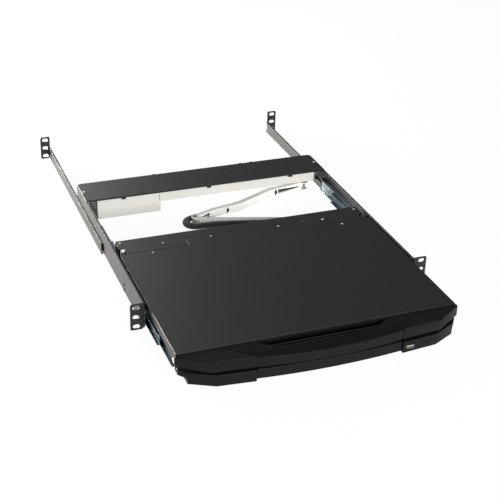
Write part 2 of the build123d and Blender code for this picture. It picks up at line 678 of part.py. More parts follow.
def osd_button(number):
    """One of the screen's buttons, which is pushed into the lid."""
    x, y = osd_button_centre(number)
    low = LID_BOTTOM_Z - OSD_BUTTON_STANDS
    half_x, half_y = OSD_BUTTON_WIDTH / 2, OSD_BUTTON_DEPTH / 2
    button = block((x - half_x, x + half_x), (y - half_y, y + half_y), (low, low + OSD_BUTTON_BODY))
    return fillet(button.edges().filter_by(Axis.Z), OSD_BUTTON_DEPTH / 5)


def display_glass():
    """Front glass of the display."""
    return screen_box(0, LID_BOTTOM_Z + SCREEN_RECESS, LID_BOTTOM_Z + FRAME_THICKNESS)


def display_panel():
    """Flat panel behind the glass, fixed to the back of the frame."""
    low = LID_BOTTOM_Z + FRAME_THICKNESS
    return screen_box(SCREEN_LAP, low, low + PANEL_THICKNESS)


def bezel_end_points(half, corner_y, chamfer_x, chamfer_y, seam_y, rear_y, seam_rear_x, advance):
    """Plan outline of the right end piece of a bezel."""
    seam_x = BEZEL_SEAM_X + BEZEL_SEAM_GAP
    return [
        (seam_rear_x + BEZEL_SEAM_GAP, rear_y), (seam_x, seam_y - advance),
        (chamfer_x, chamfer_y - advance), (half, corner_y), (half, rear_y),
    ]


def bezel_centre_face(seam_rear_x, rear_y, seam_y, nose_y):
    """Plan outline of the middle piece of a bezel, with its bowed nose."""
    front = ThreePointArc((-BEZEL_SEAM_X, seam_y), (0, nose_y), (BEZEL_SEAM_X, seam_y))
    rest = Polyline((BEZEL_SEAM_X, seam_y), (seam_rear_x, rear_y), (-seam_rear_x, rear_y),
                    (-BEZEL_SEAM_X, seam_y))
    return make_face([front, rest])


def upper_bezel_end():
    """Right end of the lid's bezel, with a softened top edge."""
    points = bezel_end_points(half_bezel, BEZEL_CORNER_Y, bezel_chamfer_x, BEZEL_CHAMFER_Y, BEZEL_SEAM_Y,
                              LID_FRONT_Y, BEZEL_SEAM_REAR_X, 0)
    end = plate(points, BEZEL_BOTTOM_Z, BEZEL_TOP_Z)
    corner = BEZEL_SEAM_REAR_X - BEZEL_SEAM_GAP
    top_edges = end.faces().sort_by(Axis.Z)[-1].edges()
    ahead = top_edges.filter_by(lambda edge: edge.center().Y < LID_FRONT_Y)
    return chamfer(ahead.filter_by(lambda edge: edge.center().X > corner), BEZEL_TOP_CHAMFER)


def handle_slot_cutters():
    """Tapered slots of the grip, one behind the other, with ribs left between them."""
    cutters = []
    rear = HANDLE_SLOT_REAR_Y
    for depth, half, taper in zip(HANDLE_SLOT_DEPTHS, HANDLE_SLOT_HALF_WIDTHS, HANDLE_SLOT_TAPERS):
        front = rear - depth
        points = [(-half, rear), (half, rear), (half - taper, front), (-half + taper, front)]
        cutters.append(plate(points, HANDLE_SLOT_BOTTOM_Z, BEZEL_TOP_Z + OVERRUN))
        rear = front - HANDLE_RIB
    return cutters


def upper_bezel_centre():
    """Middle of the lid's bezel: the grip, with a bowed nose, a falling lip and stepped slots."""
    face = bezel_centre_face(BEZEL_SEAM_REAR_X, LID_FRONT_Y, BEZEL_SEAM_Y, BEZEL_NOSE_Y)
    centre = Pos(0, 0, BEZEL_BOTTOM_Z) * extrude(face, amount=BEZEL_TOP_Z - BEZEL_BOTTOM_Z, dir=(0, 0, 1))
    drop = BEZEL_TOP_Z - BEZEL_NOSE_TOP_Z
    run = BEZEL_SLOPE_START_Y - BEZEL_NOSE_Y
    front = BEZEL_NOSE_Y - OVERRUN
    wedge = [(BEZEL_SLOPE_START_Y, BEZEL_TOP_Z), (front, BEZEL_TOP_Z - drop * (run + OVERRUN) / run),
             (front, BEZEL_TOP_Z + OVERRUN), (BEZEL_SLOPE_START_Y, BEZEL_TOP_Z + OVERRUN)]
    centre -= bar_along_x(wedge, -BEZEL_SEAM_REAR_X, BEZEL_SEAM_REAR_X)
    for cutter in handle_slot_cutters():
        centre -= cutter
    return centre


def lower_bezel_end():
    """Right end of the drawer's bezel, with the wing that covers the slide's front end."""
    top = BEZEL_BOTTOM_Z - BEZEL_GROOVE
    points = bezel_end_points(half_lower_bezel, LOWER_BEZEL_CORNER_Y, lower_bezel_chamfer_x, BEZEL_CHAMFER_Y,
                              BEZEL_SEAM_Y, BASE_FRONT_Y, BEZEL_SEAM_X, LOWER_BEZEL_ADVANCE)
    end = plate(points, LOWER_BEZEL_BOTTOM_Z, top)
    wing = [(lower_bezel_chamfer_x, WING_REAR_Y), (half_wing, WING_REAR_Y), (half_wing, BEZEL_CORNER_Y),
            (half_lower_bezel, LOWER_BEZEL_CORNER_Y)]
    return end + plate(wing, WING_BOTTOM_Z, top)


def lower_bezel_right():
    """Right end of the drawer's bezel, with openings for the serial bus socket and the reset hole."""
    end = lower_bezel_end()
    front = BEZEL_SEAM_Y - LOWER_BEZEL_ADVANCE
    end -= block((USB_X - USB_WIDTH / 2, USB_X + USB_WIDTH / 2), (front - OVERRUN, front + USB_DEPTH),
                 (USB_Z - USB_HEIGHT / 2, USB_Z + USB_HEIGHT / 2))
    depth = RESET_HOLE_DEPTH + OVERRUN * 2
    return end - rod((RESET_HOLE_X, front - OVERRUN, USB_Z), RESET_HOLE_DIAMETER / 2, depth, "y")


def lower_bezel_centre():
    """Middle of the drawer's bezel, a little set back below the grip."""
    nose = BEZEL_NOSE_Y + LOWER_NOSE_SETBACK
    face = bezel_centre_face(BEZEL_SEAM_X, BASE_FRONT_Y, BEZEL_SEAM_Y, nose)
    height = BEZEL_BOTTOM_Z - BEZEL_GROOVE - LOWER_NOSE_BOTTOM_Z
    return Pos(0, 0, LOWER_NOSE_BOTTOM_Z) * extrude(face, amount=height, dir=(0, 0, 1))


def front_usb_socket():
    """Metal shell of the front serial bus socket."""
    front = BEZEL_SEAM_Y - LOWER_BEZEL_ADVANCE + USB_WALL
    shell = block((USB_X - USB_WIDTH / 2, USB_X + USB_WIDTH / 2), (front, front + USB_DEPTH - USB_WALL),
                  (USB_Z - USB_HEIGHT / 2, USB_Z + USB_HEIGHT / 2))
    inside = block((USB_X - USB_WIDTH / 2 + USB_WALL, USB_X + USB_WIDTH / 2 - USB_WALL),
                   (front - OVERRUN, front + USB_DEPTH - USB_WALL * 2),
                   (USB_Z - USB_HEIGHT / 2 + USB_WALL, USB_Z + USB_HEIGHT / 2 - USB_WALL))
    return shell - inside


def front_usb_tongue():
    """Plastic tongue inside the front socket."""
    front = BEZEL_SEAM_Y - LOWER_BEZEL_ADVANCE + USB_WALL * 2
    top = USB_Z + USB_HEIGHT / 2 - USB_WALL
    return block((USB_X - USB_WIDTH / 2 + USB_WALL * 2, USB_X + USB_WIDTH / 2 - USB_WALL * 2),
                 (front, front + USB_DEPTH - USB_WALL * 3), (top - USB_TONGUE, top))


def key_bay_box(grow):
    """Ranges of the opening for the keys in plan."""
    x_range = (key_bay_left_x - grow, key_bay_left_x + key_bay_width + grow)
    return x_range, (KEY_BAY_REAR_Y - key_bay_depth - grow, KEY_BAY_REAR_Y + grow)


def keyboard_deck():
    """Deck with its key bay, touchpad seat and button openings."""
    half = slide_inner_x - BASE_SHEET
    depth = (BASE_FRONT_Y + BASE_SHEET, deck_rear_y())
    deck = block((-half, half), depth, (DECK_TOP_Z - DECK_SHEET, DECK_TOP_Z))
    through = (DECK_TOP_Z - DECK_SHEET - OVERRUN, DECK_TOP_Z + OVERRUN)
    deck -= block(*key_bay_box(0), through)
    deck -= block(*touchpad_box(0), (DECK_TOP_Z + TOUCHPAD_STANDS - DECK_SHEET, DECK_TOP_Z + OVERRUN))
    for _, side in SIDES:
        x_range, y_range = pad_button_box(side, RUNNING_GAP)
        deck -= block(x_range, y_range, through)
    return deck + touchpad_tray()


def touchpad_box(grow):
    """Ranges of the touchpad in plan."""
    half_x = TOUCHPAD_WIDTH / 2 + grow
    half_y = TOUCHPAD_DEPTH / 2 + grow
    return (-half_x, half_x), (TOUCHPAD_CENTRE_Y - half_y, TOUCHPAD_CENTRE_Y + half_y)


def pad_button_box(side, grow):
    """Ranges of one touchpad button in plan."""
    rear = TOUCHPAD_CENTRE_Y - TOUCHPAD_DEPTH / 2 - PAD_BUTTON_GAP
    inner = PAD_BUTTON_GAP / 2
    x_range = (side * (inner - grow), side * (TOUCHPAD_WIDTH / 2 + grow))
    return x_range, (rear - PAD_BUTTON_DEPTH - grow, rear + grow)


def touchpad():
    """Touch surface, seated in the deck."""
    x_range, y_range = touchpad_box(-RUNNING_GAP / 2)
    pad = block(x_range, y_range, (DECK_TOP_Z + TOUCHPAD_STANDS - DECK_SHEET, DECK_TOP_Z + TOUCHPAD_STANDS))
    return fillet(pad.edges().filter_by(Axis.Z), TOUCHPAD_STANDS * 4)


def push_key(x_range, y_range):
    """A flat-topped push key that stands a little above the deck."""
    high = DECK_TOP_Z + PAD_BUTTON_STANDS
    key = block(x_range, y_range, (high - PAD_BUTTON_HEIGHT, high))
    return chamfer(key.faces().sort_by(Axis.Z)[-1].edges(), PAD_BUTTON_STANDS / 3)


def key_plate():
    """Steel plate under the keys, with the hole of the space bar's stem."""
    top = DECK_TOP_Z - DECK_SHEET
    sheet = block(*key_bay_box(KEY_PITCH / 3), (top - KEY_PLATE_SHEET, top))
    x, y = space_bar_centre()
    return sheet - rod((x, y, top - KEY_PLATE_SHEET - OVERRUN), KEY_STEM_DIAMETER / 2 + PIN_GAP,
                       KEY_PLATE_SHEET + OVERRUN * 2, "z")


def keycap(x, y, columns, low_z):
    """A tapered keycap, one or more columns wide."""
    width = columns * KEY_PITCH - KEY_GAP
    depth = KEY_PITCH - KEY_GAP
    foot = Pos(x, y, low_z) * Rectangle(width, depth)
    crown = Pos(x, y, KEY_TOP_Z) * Rectangle(width - KEY_TAPER * 2, depth - KEY_TAPER * 2)
    return loft([foot, crown])


def key_centre(row, column, columns):
    """Place of a key that starts at a column; the space bar's row is row 0."""
    x = key_bay_left_x + KEY_GAP / 2 + (column + columns / 2) * KEY_PITCH
    if column >= KEY_COLUMNS:
        x += NUMPAD_GAP
    return x, KEY_BAY_REAR_Y - key_bay_depth + KEY_GAP / 2 + (row + 1 / 2) * KEY_PITCH


def space_bar_centre():
    """Place of the space bar."""
    return key_centre(0, SPACE_BAR_FIRST_COLUMN, SPACE_BAR_COLUMNS)


def fixed_keys():
    """All keycaps but the space bar, standing on the key plate."""
    caps = []
    low = DECK_TOP_Z - DECK_SHEET
    space = range(SPACE_BAR_FIRST_COLUMN, SPACE_BAR_FIRST_COLUMN + SPACE_BAR_COLUMNS)
    for row in range(KEY_ROWS):
        for column in range(KEY_COLUMNS + NUMPAD_COLUMNS):
            if row == 0 and column in space:
                continue
            x, y = key_centre(row, column, 1)
            caps.append(keycap(x, y, 1, low))
    return together(caps)


def space_bar():
    """Space bar, with room to travel and a stem through the key plate."""
    x, y = space_bar_centre()
    low = DECK_TOP_Z - DECK_SHEET + KEY_TRAVEL + RUNNING_GAP
    stem_low = DECK_TOP_Z - DECK_SHEET - KEY_PLATE_SHEET - KEY_TRAVEL
    stem = rod((x, y, stem_low), KEY_STEM_DIAMETER / 2, low - stem_low, "z")
    return keycap(x, y, SPACE_BAR_COLUMNS, low) + stem


def touchpad_tray():
    """Shallow well moulded under the deck, in which the touchpad's two buttons travel."""
    pad_x, pad_y = touchpad_box(0)
    _, button_y = pad_button_box(1, RUNNING_GAP)
    edge = BASE_SHEET * 2
    top = DECK_TOP_Z - DECK_SHEET
    tray = block((pad_x[0] - edge, pad_x[1] + edge), (button_y[0] - edge, pad_y[1]), (top - TRAY_DEPTH, top))
    return tray - block((pad_x[0] - RUNNING_GAP, pad_x[1] + RUNNING_GAP), button_y,
                        (top - TRAY_DEPTH + TRAY_FLOOR, top + OVERRUN))


def rear_cover():
    """Top cover over the rear housing: a folded sheet with a front lip, hanging tabs and rear tabs."""
    top = (RAIL_TOP_Z, RAIL_TOP_Z + COVER_SHEET)
    cover = block((-half_rail, half_rail), (COVER_FRONT_Y, RAIL_REAR_Y), top)
    cover = fillet(cover.edges().filter_by(Axis.Z).group_by(Axis.Y)[-1], COVER_CORNER_RADIUS)
    lip_half = half_rail - RAIL_FLANGE - RUNNING_GAP
    lip_y = (COVER_FRONT_Y, COVER_FRONT_Y + COVER_SHEET)
    lip_low = RAIL_TOP_Z + COVER_SHEET - COVER_LIP
    cover += block((-lip_half, lip_half), lip_y, (lip_low, RAIL_TOP_Z))
    half_tab = COVER_TAB_WIDTH / 2
    for x in (-COVER_TAB_SPREAD, 0, COVER_TAB_SPREAD):
        cover += block((x - half_tab, x + half_tab), lip_y, (lip_low - COVER_TAB_DROP, lip_low))
    for x in COVER_REAR_TAB_XS:
        cover += block((x - COVER_REAR_TAB_WIDTH / 2, x + COVER_REAR_TAB_WIDTH / 2),
                       (RAIL_REAR_Y, RAIL_REAR_Y + COVER_REAR_TAB_DEPTH), top)
    return cover


def housing_outline(inset, top_z):
    """Stepped (x, z) outline of the rear housing, inset by a wall thickness."""
    return [
        (housing_left_x + inset, HOUSING_LOW_Z + inset), (housing_step_x - inset, HOUSING_LOW_Z + inset),
        (housing_step_x - inset, HOUSING_STEP_Z + inset), (housing_right_x - inset, HOUSING_STEP_Z + inset),
        (housing_right_x - inset, top_z), (housing_left_x + inset, top_z),
    ]


def rear_housing():
    """Light sheet-metal housing under the cover: deep at the left, shallow over the cable arm."""
    walls = bar_along_y(housing_outline(0, RAIL_TOP_Z), HOUSING_FRONT_Y, panel_front_y)
    walls -= bar_along_y(housing_outline(HOUSING_SHEET, RAIL_TOP_Z + OVERRUN),
                         HOUSING_FRONT_Y + HOUSING_SHEET, panel_front_y + OVERRUN)
    x, y, _ = rear_tail_points()[-1]
    return walls - rod((x, y, HOUSING_STEP_Z - OVERRUN), GROMMET_DIAMETER / 2 - GROMMET_RIM,
                       HOUSING_SHEET + OVERRUN * 2, "z")


def port_opening(x, z, width, height):
    """Cutter for a rectangular opening in the rear panel."""
    return block((x - width / 2, x + width / 2), (panel_front_y - OVERRUN, RAIL_REAR_Y + OVERRUN),
                 (z - height / 2, z + height / 2))


def rear_panel():
    """Panel across the back of the housing, with its port openings and a row of vents."""
    panel = bar_along_y(housing_outline(0, RAIL_TOP_Z), panel_front_y, RAIL_REAR_Y)
    panel -= port_opening(inlet_x, 0, INLET_WIDTH, INLET_HEIGHT)
    panel -= port_opening(switch_x, 0, SWITCH_WIDTH, SWITCH_HEIGHT)
    panel -= port_opening(VIDEO_X, PORT_Z, VIDEO_SHELL_WIDTH + VIDEO_TAPER, VIDEO_SHELL_HEIGHT)
    for x in USB_PORT_XS:
        panel -= port_opening(x, PORT_Z, USB_PORT_WIDTH, USB_PORT_HEIGHT)
    for number in range(VENT_COUNT):
        panel -= port_opening(VENT_X + number * VENT_PITCH, PORT_Z, VENT_WIDTH, VENT_HEIGHT)
    return panel


def power_inlet():
    """Three-pole mains inlet with a flange outside the panel and an open well."""
    face = RAIL_REAR_Y + INLET_FLANGE
    half_x, half_z = INLET_WIDTH / 2, INLET_HEIGHT / 2
    body = block((inlet_x - half_x, inlet_x + half_x), (face - INLET_DEPTH, face), (-half_z, half_z))
    rim = INLET_FLANGE_MARGIN
    flange = block((inlet_x - half_x - rim, inlet_x + half_x + rim), (RAIL_REAR_Y, face),
                   (-half_z - rim, half_z + rim))
    body += fillet(flange.edges().filter_by(Axis.Y), rim)
    well_x, well_z = half_x - INLET_WELL_WALL, half_z - INLET_WELL_WALL
    corner = INLET_WELL_WALL * 2
    points = [
        (inlet_x - well_x, -well_z), (inlet_x + well_x, -well_z), (inlet_x + well_x, well_z - corner),
        (inlet_x + well_x - corner, well_z), (inlet_x - well_x + corner, well_z),
        (inlet_x - well_x, well_z - corner),
    ]
    return body - bar_along_y(points, face - INLET_WELL_DEPTH, face + OVERRUN)


def inlet_pins():
    """The three flat pins in the well of the mains inlet."""
    start = RAIL_REAR_Y + INLET_FLANGE - INLET_WELL_DEPTH
    end = RAIL_REAR_Y - INLET_FLANGE
    pins = []
    for step in (-1, 0, 1):
        x = inlet_x + step * INLET_PIN_SPREAD
        z = (1 - abs(step)) * INLET_PIN_SIZE
        pins.append(block((x - INLET_PIN_SIZE / 2, x + INLET_PIN_SIZE / 2), (start, end),
                          (z - INLET_PIN_SIZE, z + INLET_PIN_SIZE)))
    return together(pins)


def switch_body():
    """Frame and body of the power switch."""
    face = RAIL_REAR_Y + SWITCH_FRAME
    half_x, half_z = SWITCH_WIDTH / 2, SWITCH_HEIGHT / 2
    body = block((switch_x - half_x, switch_x + half_x), (face - SWITCH_DEPTH, face), (-half_z, half_z))
    rim = SWITCH_FRAME
    body += block((switch_x - half_x - rim, switch_x + half_x + rim), (RAIL_REAR_Y, face),
                  (-half_z - rim, half_z + rim))
    body -= block((switch_x - half_x + rim, switch_x + half_x - rim),
                  (face - SWITCH_DEPTH + rim, face + OVERRUN), (-half_z + rim, half_z - rim))
    return body - rod((switch_x - half_x + rim / 2, RAIL_REAR_Y, 0), SWITCH_PIVOT_DIAMETER / 2 + PIN_GAP,
                      SWITCH_WIDTH - rim, "x")


def switch_rocker():
    """Rocker of the power switch, with a dished face and stub pivots, tipped to one side."""
    half_x = SWITCH_WIDTH / 2 - SWITCH_FRAME - RUNNING_GAP
    half_z = SWITCH_HEIGHT / 2 - SWITCH_FRAME * 3 / 2
    front = SWITCH_FRAME * 3 / 2
    points = [(-front * 2, -half_z / 2), (front, -half_z), (front / 2, 0), (front, half_z),
              (-front * 2, half_z / 2)]
    rocker = bar_along_x(points, -half_x, half_x)
    pivot_half = SWITCH_WIDTH / 2 - SWITCH_FRAME / 2 - PIN_GAP
    rocker += rod((-pivot_half, 0, 0), SWITCH_PIVOT_DIAMETER / 2, pivot_half * 2, "x")
    return Pos(switch_x, RAIL_REAR_Y, 0) * Rot(SWITCH_ROCKER_ANGLE, 0, 0) * rocker


def video_outline(inset):
    """Tapered (x, z) outline of the video connector."""
    half = VIDEO_SHELL_WIDTH / 2 - inset
    high = VIDEO_SHELL_HEIGHT / 2 - inset
    return [(VIDEO_X - half + VIDEO_TAPER, PORT_Z - high), (VIDEO_X + half - VIDEO_TAPER, PORT_Z - high),
            (VIDEO_X + half, PORT_Z + high), (VIDEO_X - half, PORT_Z + high)]


def video_port():
    """Video connector: flange plate and tapered shell."""
    plate_y = (RAIL_REAR_Y, RAIL_REAR_Y + USB_WALL)
    half_x, half_z = VIDEO_WIDTH / 2, VIDEO_HEIGHT / 2
    shell = block((VIDEO_X - half_x, VIDEO_X + half_x), plate_y, (PORT_Z - half_z, PORT_Z + half_z))
    shell += bar_along_y(video_outline(0), RAIL_REAR_Y, RAIL_REAR_Y + VIDEO_SHELL_REACH)
    return shell - bar_along_y(video_outline(USB_WALL), RAIL_REAR_Y - OVERRUN,
                               RAIL_REAR_Y + VIDEO_SHELL_REACH + OVERRUN)


def video_insert():
    """Plastic insert inside the video connector's shell."""
    return bar_along_y(video_outline(USB_WALL), panel_front_y, RAIL_REAR_Y + VIDEO_SHELL_REACH - USB_WALL)


def usb_ports():
    """The square serial bus sockets in the rear panel, each an open metal shell."""
    shells = []
    for x in USB_PORT_XS:
        y_range = (RAIL_REAR_Y - USB_PORT_DEPTH, RAIL_REAR_Y + USB_WALL)
        shell = block((x - USB_PORT_WIDTH / 2, x + USB_PORT_WIDTH / 2), y_range,
                      (PORT_Z - USB_PORT_HEIGHT / 2, PORT_Z + USB_PORT_HEIGHT / 2))
        inner_x, inner_z = USB_PORT_WIDTH / 2 - USB_WALL, USB_PORT_HEIGHT / 2 - USB_WALL
        shell -= block((x - inner_x, x + inner_x), (y_range[0] + USB_WALL, y_range[1] + OVERRUN),
                       (PORT_Z - inner_z, PORT_Z + inner_z))
        shells.append(shell)
    return together(shells)


def usb_port_tongues():
    """Contact blocks inside the rear serial bus sockets."""
    half_x, half_z = USB_PORT_WIDTH / 4, USB_PORT_HEIGHT / 5
    depth = (RAIL_REAR_Y - USB_PORT_DEPTH + USB_WALL, RAIL_REAR_Y - USB_WALL)
    height = (PORT_Z - half_z, PORT_Z + half_z)
    return together([block((x - half_x, x + half_x), depth, height) for x in USB_PORT_XS])


def link_point(side, along, aside):
    """Plan point beside a link: along it from the elbow, and out from its pivot line on its flange side.

    The side is 1 for the rear link, whose flanges face back, and -1 for the front link.
    """
    angle = math.radians(arm_angle)
    x = elbow_x + along * math.cos(angle) - aside * math.sin(angle)
    return x, elbow_y + side * (along * math.sin(angle) + aside * math.cos(angle))


def placed_link(side, shape):
    """Turn a shape made along +X from the elbow into place on a link."""
    return Pos(elbow_x, elbow_y, 0) * Rot(0, 0, side * arm_angle) * shape


def channel_link(side, shares, flange, z_low, z_high, elbow_hole, pivot_hole, pivot_clearance):
    """One link of the cable arm: a joggled sheet channel with rounded ends for its pivots."""
    front = [(place * ARM_LINK_LENGTH, side * bend * flange) for place, bend, _ in shares]
    back = [(place * ARM_LINK_LENGTH, side * (bend + depth) * flange) for place, bend, depth in shares]
    web_back = [(x, y + side * ARM_SHEET) for x, y in front]
    link = plate(front + web_back[::-1], z_low, z_high)
    inner = (z_low + ARM_SHEET, z_high - ARM_SHEET)
    for x, radius in ((0, ARM_ELBOW_CLEARANCE), (ARM_LINK_LENGTH, pivot_clearance)):
        link -= rod((x, 0, inner[0]), radius, inner[1] - inner[0], "z")
    for low in (z_low, inner[1]):
        flat = plate(front + back[::-1], low, low + ARM_SHEET)
        for x in (0, ARM_LINK_LENGTH):
            flat += rod((x, 0, low), ARM_END_RADIUS, ARM_SHEET, "z")
        link += flat
    for x, radius in ((0, elbow_hole), (ARM_LINK_LENGTH, pivot_hole)):
        link -= rod((x, 0, z_low - OVERRUN), radius, z_high - z_low + OVERRUN * 2, "z")
    return link


def web_offset(share):
    """Distance of the rear link's web behind its pivot line at a share of its length."""
    for (low, low_bend, _), (high, high_bend, _) in zip(REAR_LINK_SHARES, REAR_LINK_SHARES[1:]):
        if low <= share <= high:
            return ARM_FLANGE * (low_bend + (high_bend - low_bend) * (share - low) / (high - low))
    raise ValueError(share)


def arm_windows():
    """Cutters for the tapered windows in the rear link's web."""
    half = (ARM_HEIGHT - ARM_SHEET * 2) / 2
    cutters = []
    for narrow, wide in ARM_WINDOW_SHARES:
        low, high = half * ARM_WINDOW_NARROW_SHARE, half * ARM_WINDOW_WIDE_SHARE
        x_low, x_high = narrow * ARM_LINK_LENGTH, wide * ARM_LINK_LENGTH
        points = [(x_low, arm_middle_z - low), (x_high, arm_middle_z - high), (x_high, arm_middle_z + high),
                  (x_low, arm_middle_z + low)]
        cutters.append(bar_along_y(points, -ARM_FLANGE * 2, ARM_FLANGE * 2))
    return cutters


def clip_slits():
    """Cutters for the slits in the rear link's web that the cable ties pass through."""
    half = CABLE_CLIP_WIDTH / 2 + PIN_GAP
    rise = CABLE_DIAMETER / 3 + RUNNING_GAP
    depth = (-ARM_FLANGE * 2, ARM_FLANGE * 2)
    height = (arm_middle_z - rise, arm_middle_z + rise)
    middles = [share * ARM_LINK_LENGTH for share in REAR_CLIP_SHARES]
    return [block((x - half, x + half), depth, height) for x in middles]


def rear_link():
    """Rear link of the cable arm, open at the back, with its windows and tie slits."""
    pin = ARM_PIN_DIAMETER / 2
    link = channel_link(1, REAR_LINK_SHARES, ARM_FLANGE, arm_bottom_z, ARM_TOP_Z,
                        pin, pin + PIN_GAP, ARM_END_RADIUS)
    for cutter in arm_windows() + clip_slits():
        link -= cutter
    return placed_link(1, link)


def front_link():
    """Front link of the cable arm, which nests between the rear link's flanges at the elbow."""
    pin = ARM_PIN_DIAMETER / 2
    inset = ARM_SHEET + RUNNING_GAP
    link = channel_link(-1, FRONT_LINK_SHARES, ARM_FRONT_FLANGE, arm_bottom_z + inset, ARM_TOP_Z - inset,
                        pin + PIN_GAP, pin, ARM_TONGUE_CLEARANCE)
    return placed_link(-1, link)


def headed_pin(x, y, z_low, z_high):
    """A pivot pin with a flat head on each end, outside the range it holds."""
    pin = rod((x, y, z_low - ARM_PIN_HEAD_THICKNESS), ARM_PIN_HEAD_DIAMETER / 2, ARM_PIN_HEAD_THICKNESS, "z")
    pin += rod((x, y, z_low), ARM_PIN_DIAMETER / 2, z_high - z_low, "z")
    return pin + rod((x, y, z_high), ARM_PIN_HEAD_DIAMETER / 2, ARM_PIN_HEAD_THICKNESS, "z")


def arm_rear_pin():
    """Fixed pin under the rear housing, with a spacer above the rear link and a head below it."""
    x, y = arm_pivot_x, ARM_REAR_PIVOT_Y
    low = arm_bottom_z - RUNNING_GAP
    spacer_low = ARM_TOP_Z + RUNNING_GAP
    pin = rod((x, y, low - ARM_PIN_HEAD_THICKNESS), ARM_PIN_HEAD_DIAMETER / 2, ARM_PIN_HEAD_THICKNESS, "z")
    pin += rod((x, y, low), ARM_PIN_DIAMETER / 2, spacer_low - low, "z")
    return pin + rod((x, y, spacer_low), ARM_BOSS_DIAMETER / 2, HOUSING_STEP_Z - spacer_low, "z")


def elbow_pin():
    """Pin that joins the two links of the cable arm."""
    return headed_pin(elbow_x, elbow_y, arm_bottom_z, ARM_TOP_Z)


def arm_front_pin():
    """Pin of the front link, which rides in the slot of the drawer's tongue."""
    inset = ARM_SHEET + RUNNING_GAP
    return headed_pin(arm_pivot_x, ARM_FRONT_PIVOT_Y, arm_bottom_z + inset, ARM_TOP_Z - inset)


def drawer_tongue():
    """Slotted tongue on the back of the drawer that draws the cable arm along."""
    slot_y = ARM_FRONT_PIVOT_Y + ARM_SLOT_SHIFT
    end = slot_y + ARM_SLOT_LENGTH / 2 + ARM_TONGUE_END
    z_low = arm_middle_z - ARM_TONGUE_SHEET / 2
    half = ARM_TONGUE_WIDTH / 2
    tongue = block((arm_pivot_x - half, arm_pivot_x + half), (BASE_REAR_Y, end),
                   (z_low, z_low + ARM_TONGUE_SHEET))
    tongue = fillet(tongue.edges().filter_by(Axis.Z).group_by(Axis.Y)[-1], ARM_TONGUE_END)
    slot = SlotOverall(ARM_SLOT_LENGTH, ARM_PIN_DIAMETER + RUNNING_GAP * 2)
    cutter = extrude(Rot(0, 0, 90) * slot, amount=ARM_TONGUE_SHEET + OVERRUN * 2, dir=(0, 0, 1))
    return tongue - Pos(arm_pivot_x, slot_y, z_low - OVERRUN) * cutter


def cable(points, radius):
    """A round cable along straight runs joined by arcs; each point is (x, y) or (x, y, z)."""
    places = [point if len(point) == 3 else (*point, arm_middle_z) for point in points]
    path = FilletPolyline(*places, radius=radius) if len(places) > 2 else Line(*places)
    return sweep(Plane(origin=path @ 0, z_dir=path % 0) * Circle(CABLE_DIAMETER / 2), path=path)


def cable_aside(share):
    """Distance of the cable's middle behind the rear link's pivot line at a share of its length."""
    return web_offset(share) + ARM_SHEET + RUNNING_GAP + CABLE_DIAMETER / 2


def rear_run_points():
    """Points of the cable in the rear link, from the rear tail to the elbow."""
    points = [link_point(1, share * ARM_LINK_LENGTH, cable_aside(share)) for share in REAR_CABLE_SHARES]
    at_elbow = ARM_END_RADIUS + RUNNING_GAP + CABLE_DIAMETER / 4
    return points + [link_point(1, 0, at_elbow)]


def onward(first, second, distance):
    """The point a distance beyond the second point, on the line from the first."""
    length = math.dist(first, second)
    return tuple(b + (b - a) * distance / length for a, b in zip(first, second))


def elbow_loop_points():
    """Points of the loop round the elbow."""
    before, start = rear_run_points()[-2:]
    run = (start[0] - cable_loop_left_x) * math.dist(before, start) / (before[0] - start[0])
    corner = onward(before, start, run)
    end_x = cable_loop_left_x + CABLE_LOOP_RADIUS * 3 / 2
    return [start, corner, (cable_loop_left_x, cable_loop_front_y), (end_x, cable_loop_front_y)]


def front_run_points():
    """Points of the cable in front of the front link, from the elbow loop to the front tail."""
    aside = ARM_FRONT_FLANGE + CABLE_DIAMETER / 2 + RUNNING_GAP
    angle = math.radians(arm_angle)
    along = (elbow_y - cable_loop_front_y - aside * math.cos(angle)) / math.sin(angle)
    return [elbow_loop_points()[-1], link_point(-1, along, aside),
            link_point(-1, CABLE_EXIT_SHARE * ARM_LINK_LENGTH, aside)]


def rear_tail_points():
    """Points of the cable from the rear link up into the housing."""
    after, start = rear_run_points()[1::-1]
    corner = onward(after, start, CABLE_TAIL_RUN)
    up_y = corner[1] + CABLE_TAIL_SIDE
    return [(*start, arm_middle_z), (*corner, arm_middle_z), (corner[0], up_y, arm_middle_z),
            (corner[0], up_y, HOUSING_STEP_Z + CABLE_ENTRY)]


def front_tail_points():
    """Points of the cable from the front link into the drawer's rear wall."""
    before, start = front_run_points()[-2:]
    corner = onward(before, start, CABLE_TAIL_RUN)
    return [start, corner, (corner[0], BASE_REAR_Y - CABLE_ENTRY)]


def clip_ring(side, share, aside):
    """A band round the cable, across a link at a share of its length."""
    x = share * ARM_LINK_LENGTH - CABLE_CLIP_WIDTH / 2
    inner = CABLE_DIAMETER / 2 + RUNNING_GAP
    band = rod((x, side * aside, arm_middle_z), inner + CABLE_CLIP_SHEET, CABLE_CLIP_WIDTH, "x")
    return band - rod((x - OVERRUN, side * aside, arm_middle_z), inner, CABLE_CLIP_WIDTH + OVERRUN * 2, "x")


def rear_cable_clips():
    """Ties that hold the cable in the rear link, each with its head on the web's front."""
    clips = []
    half_head = CABLE_TIE_HEAD / 2
    half_width = CABLE_CLIP_WIDTH / 2
    for share in REAR_CLIP_SHARES:
        ring = clip_ring(1, share, cable_aside(share))
        x = share * ARM_LINK_LENGTH
        slope = ARM_SHEET / 4
        front = web_offset(share) - slope
        height = (arm_middle_z - half_head, arm_middle_z + half_head)
        ring += block((x - half_width, x + half_width), (front, web_offset(share) + ARM_SHEET),
                      height) - clip_core(x, cable_aside(share))
        ring += block((x - half_head, x + half_head), (front - CABLE_TIE_HEAD / 2, front), height)
        clips.append(placed_link(1, ring))
    return together(clips)


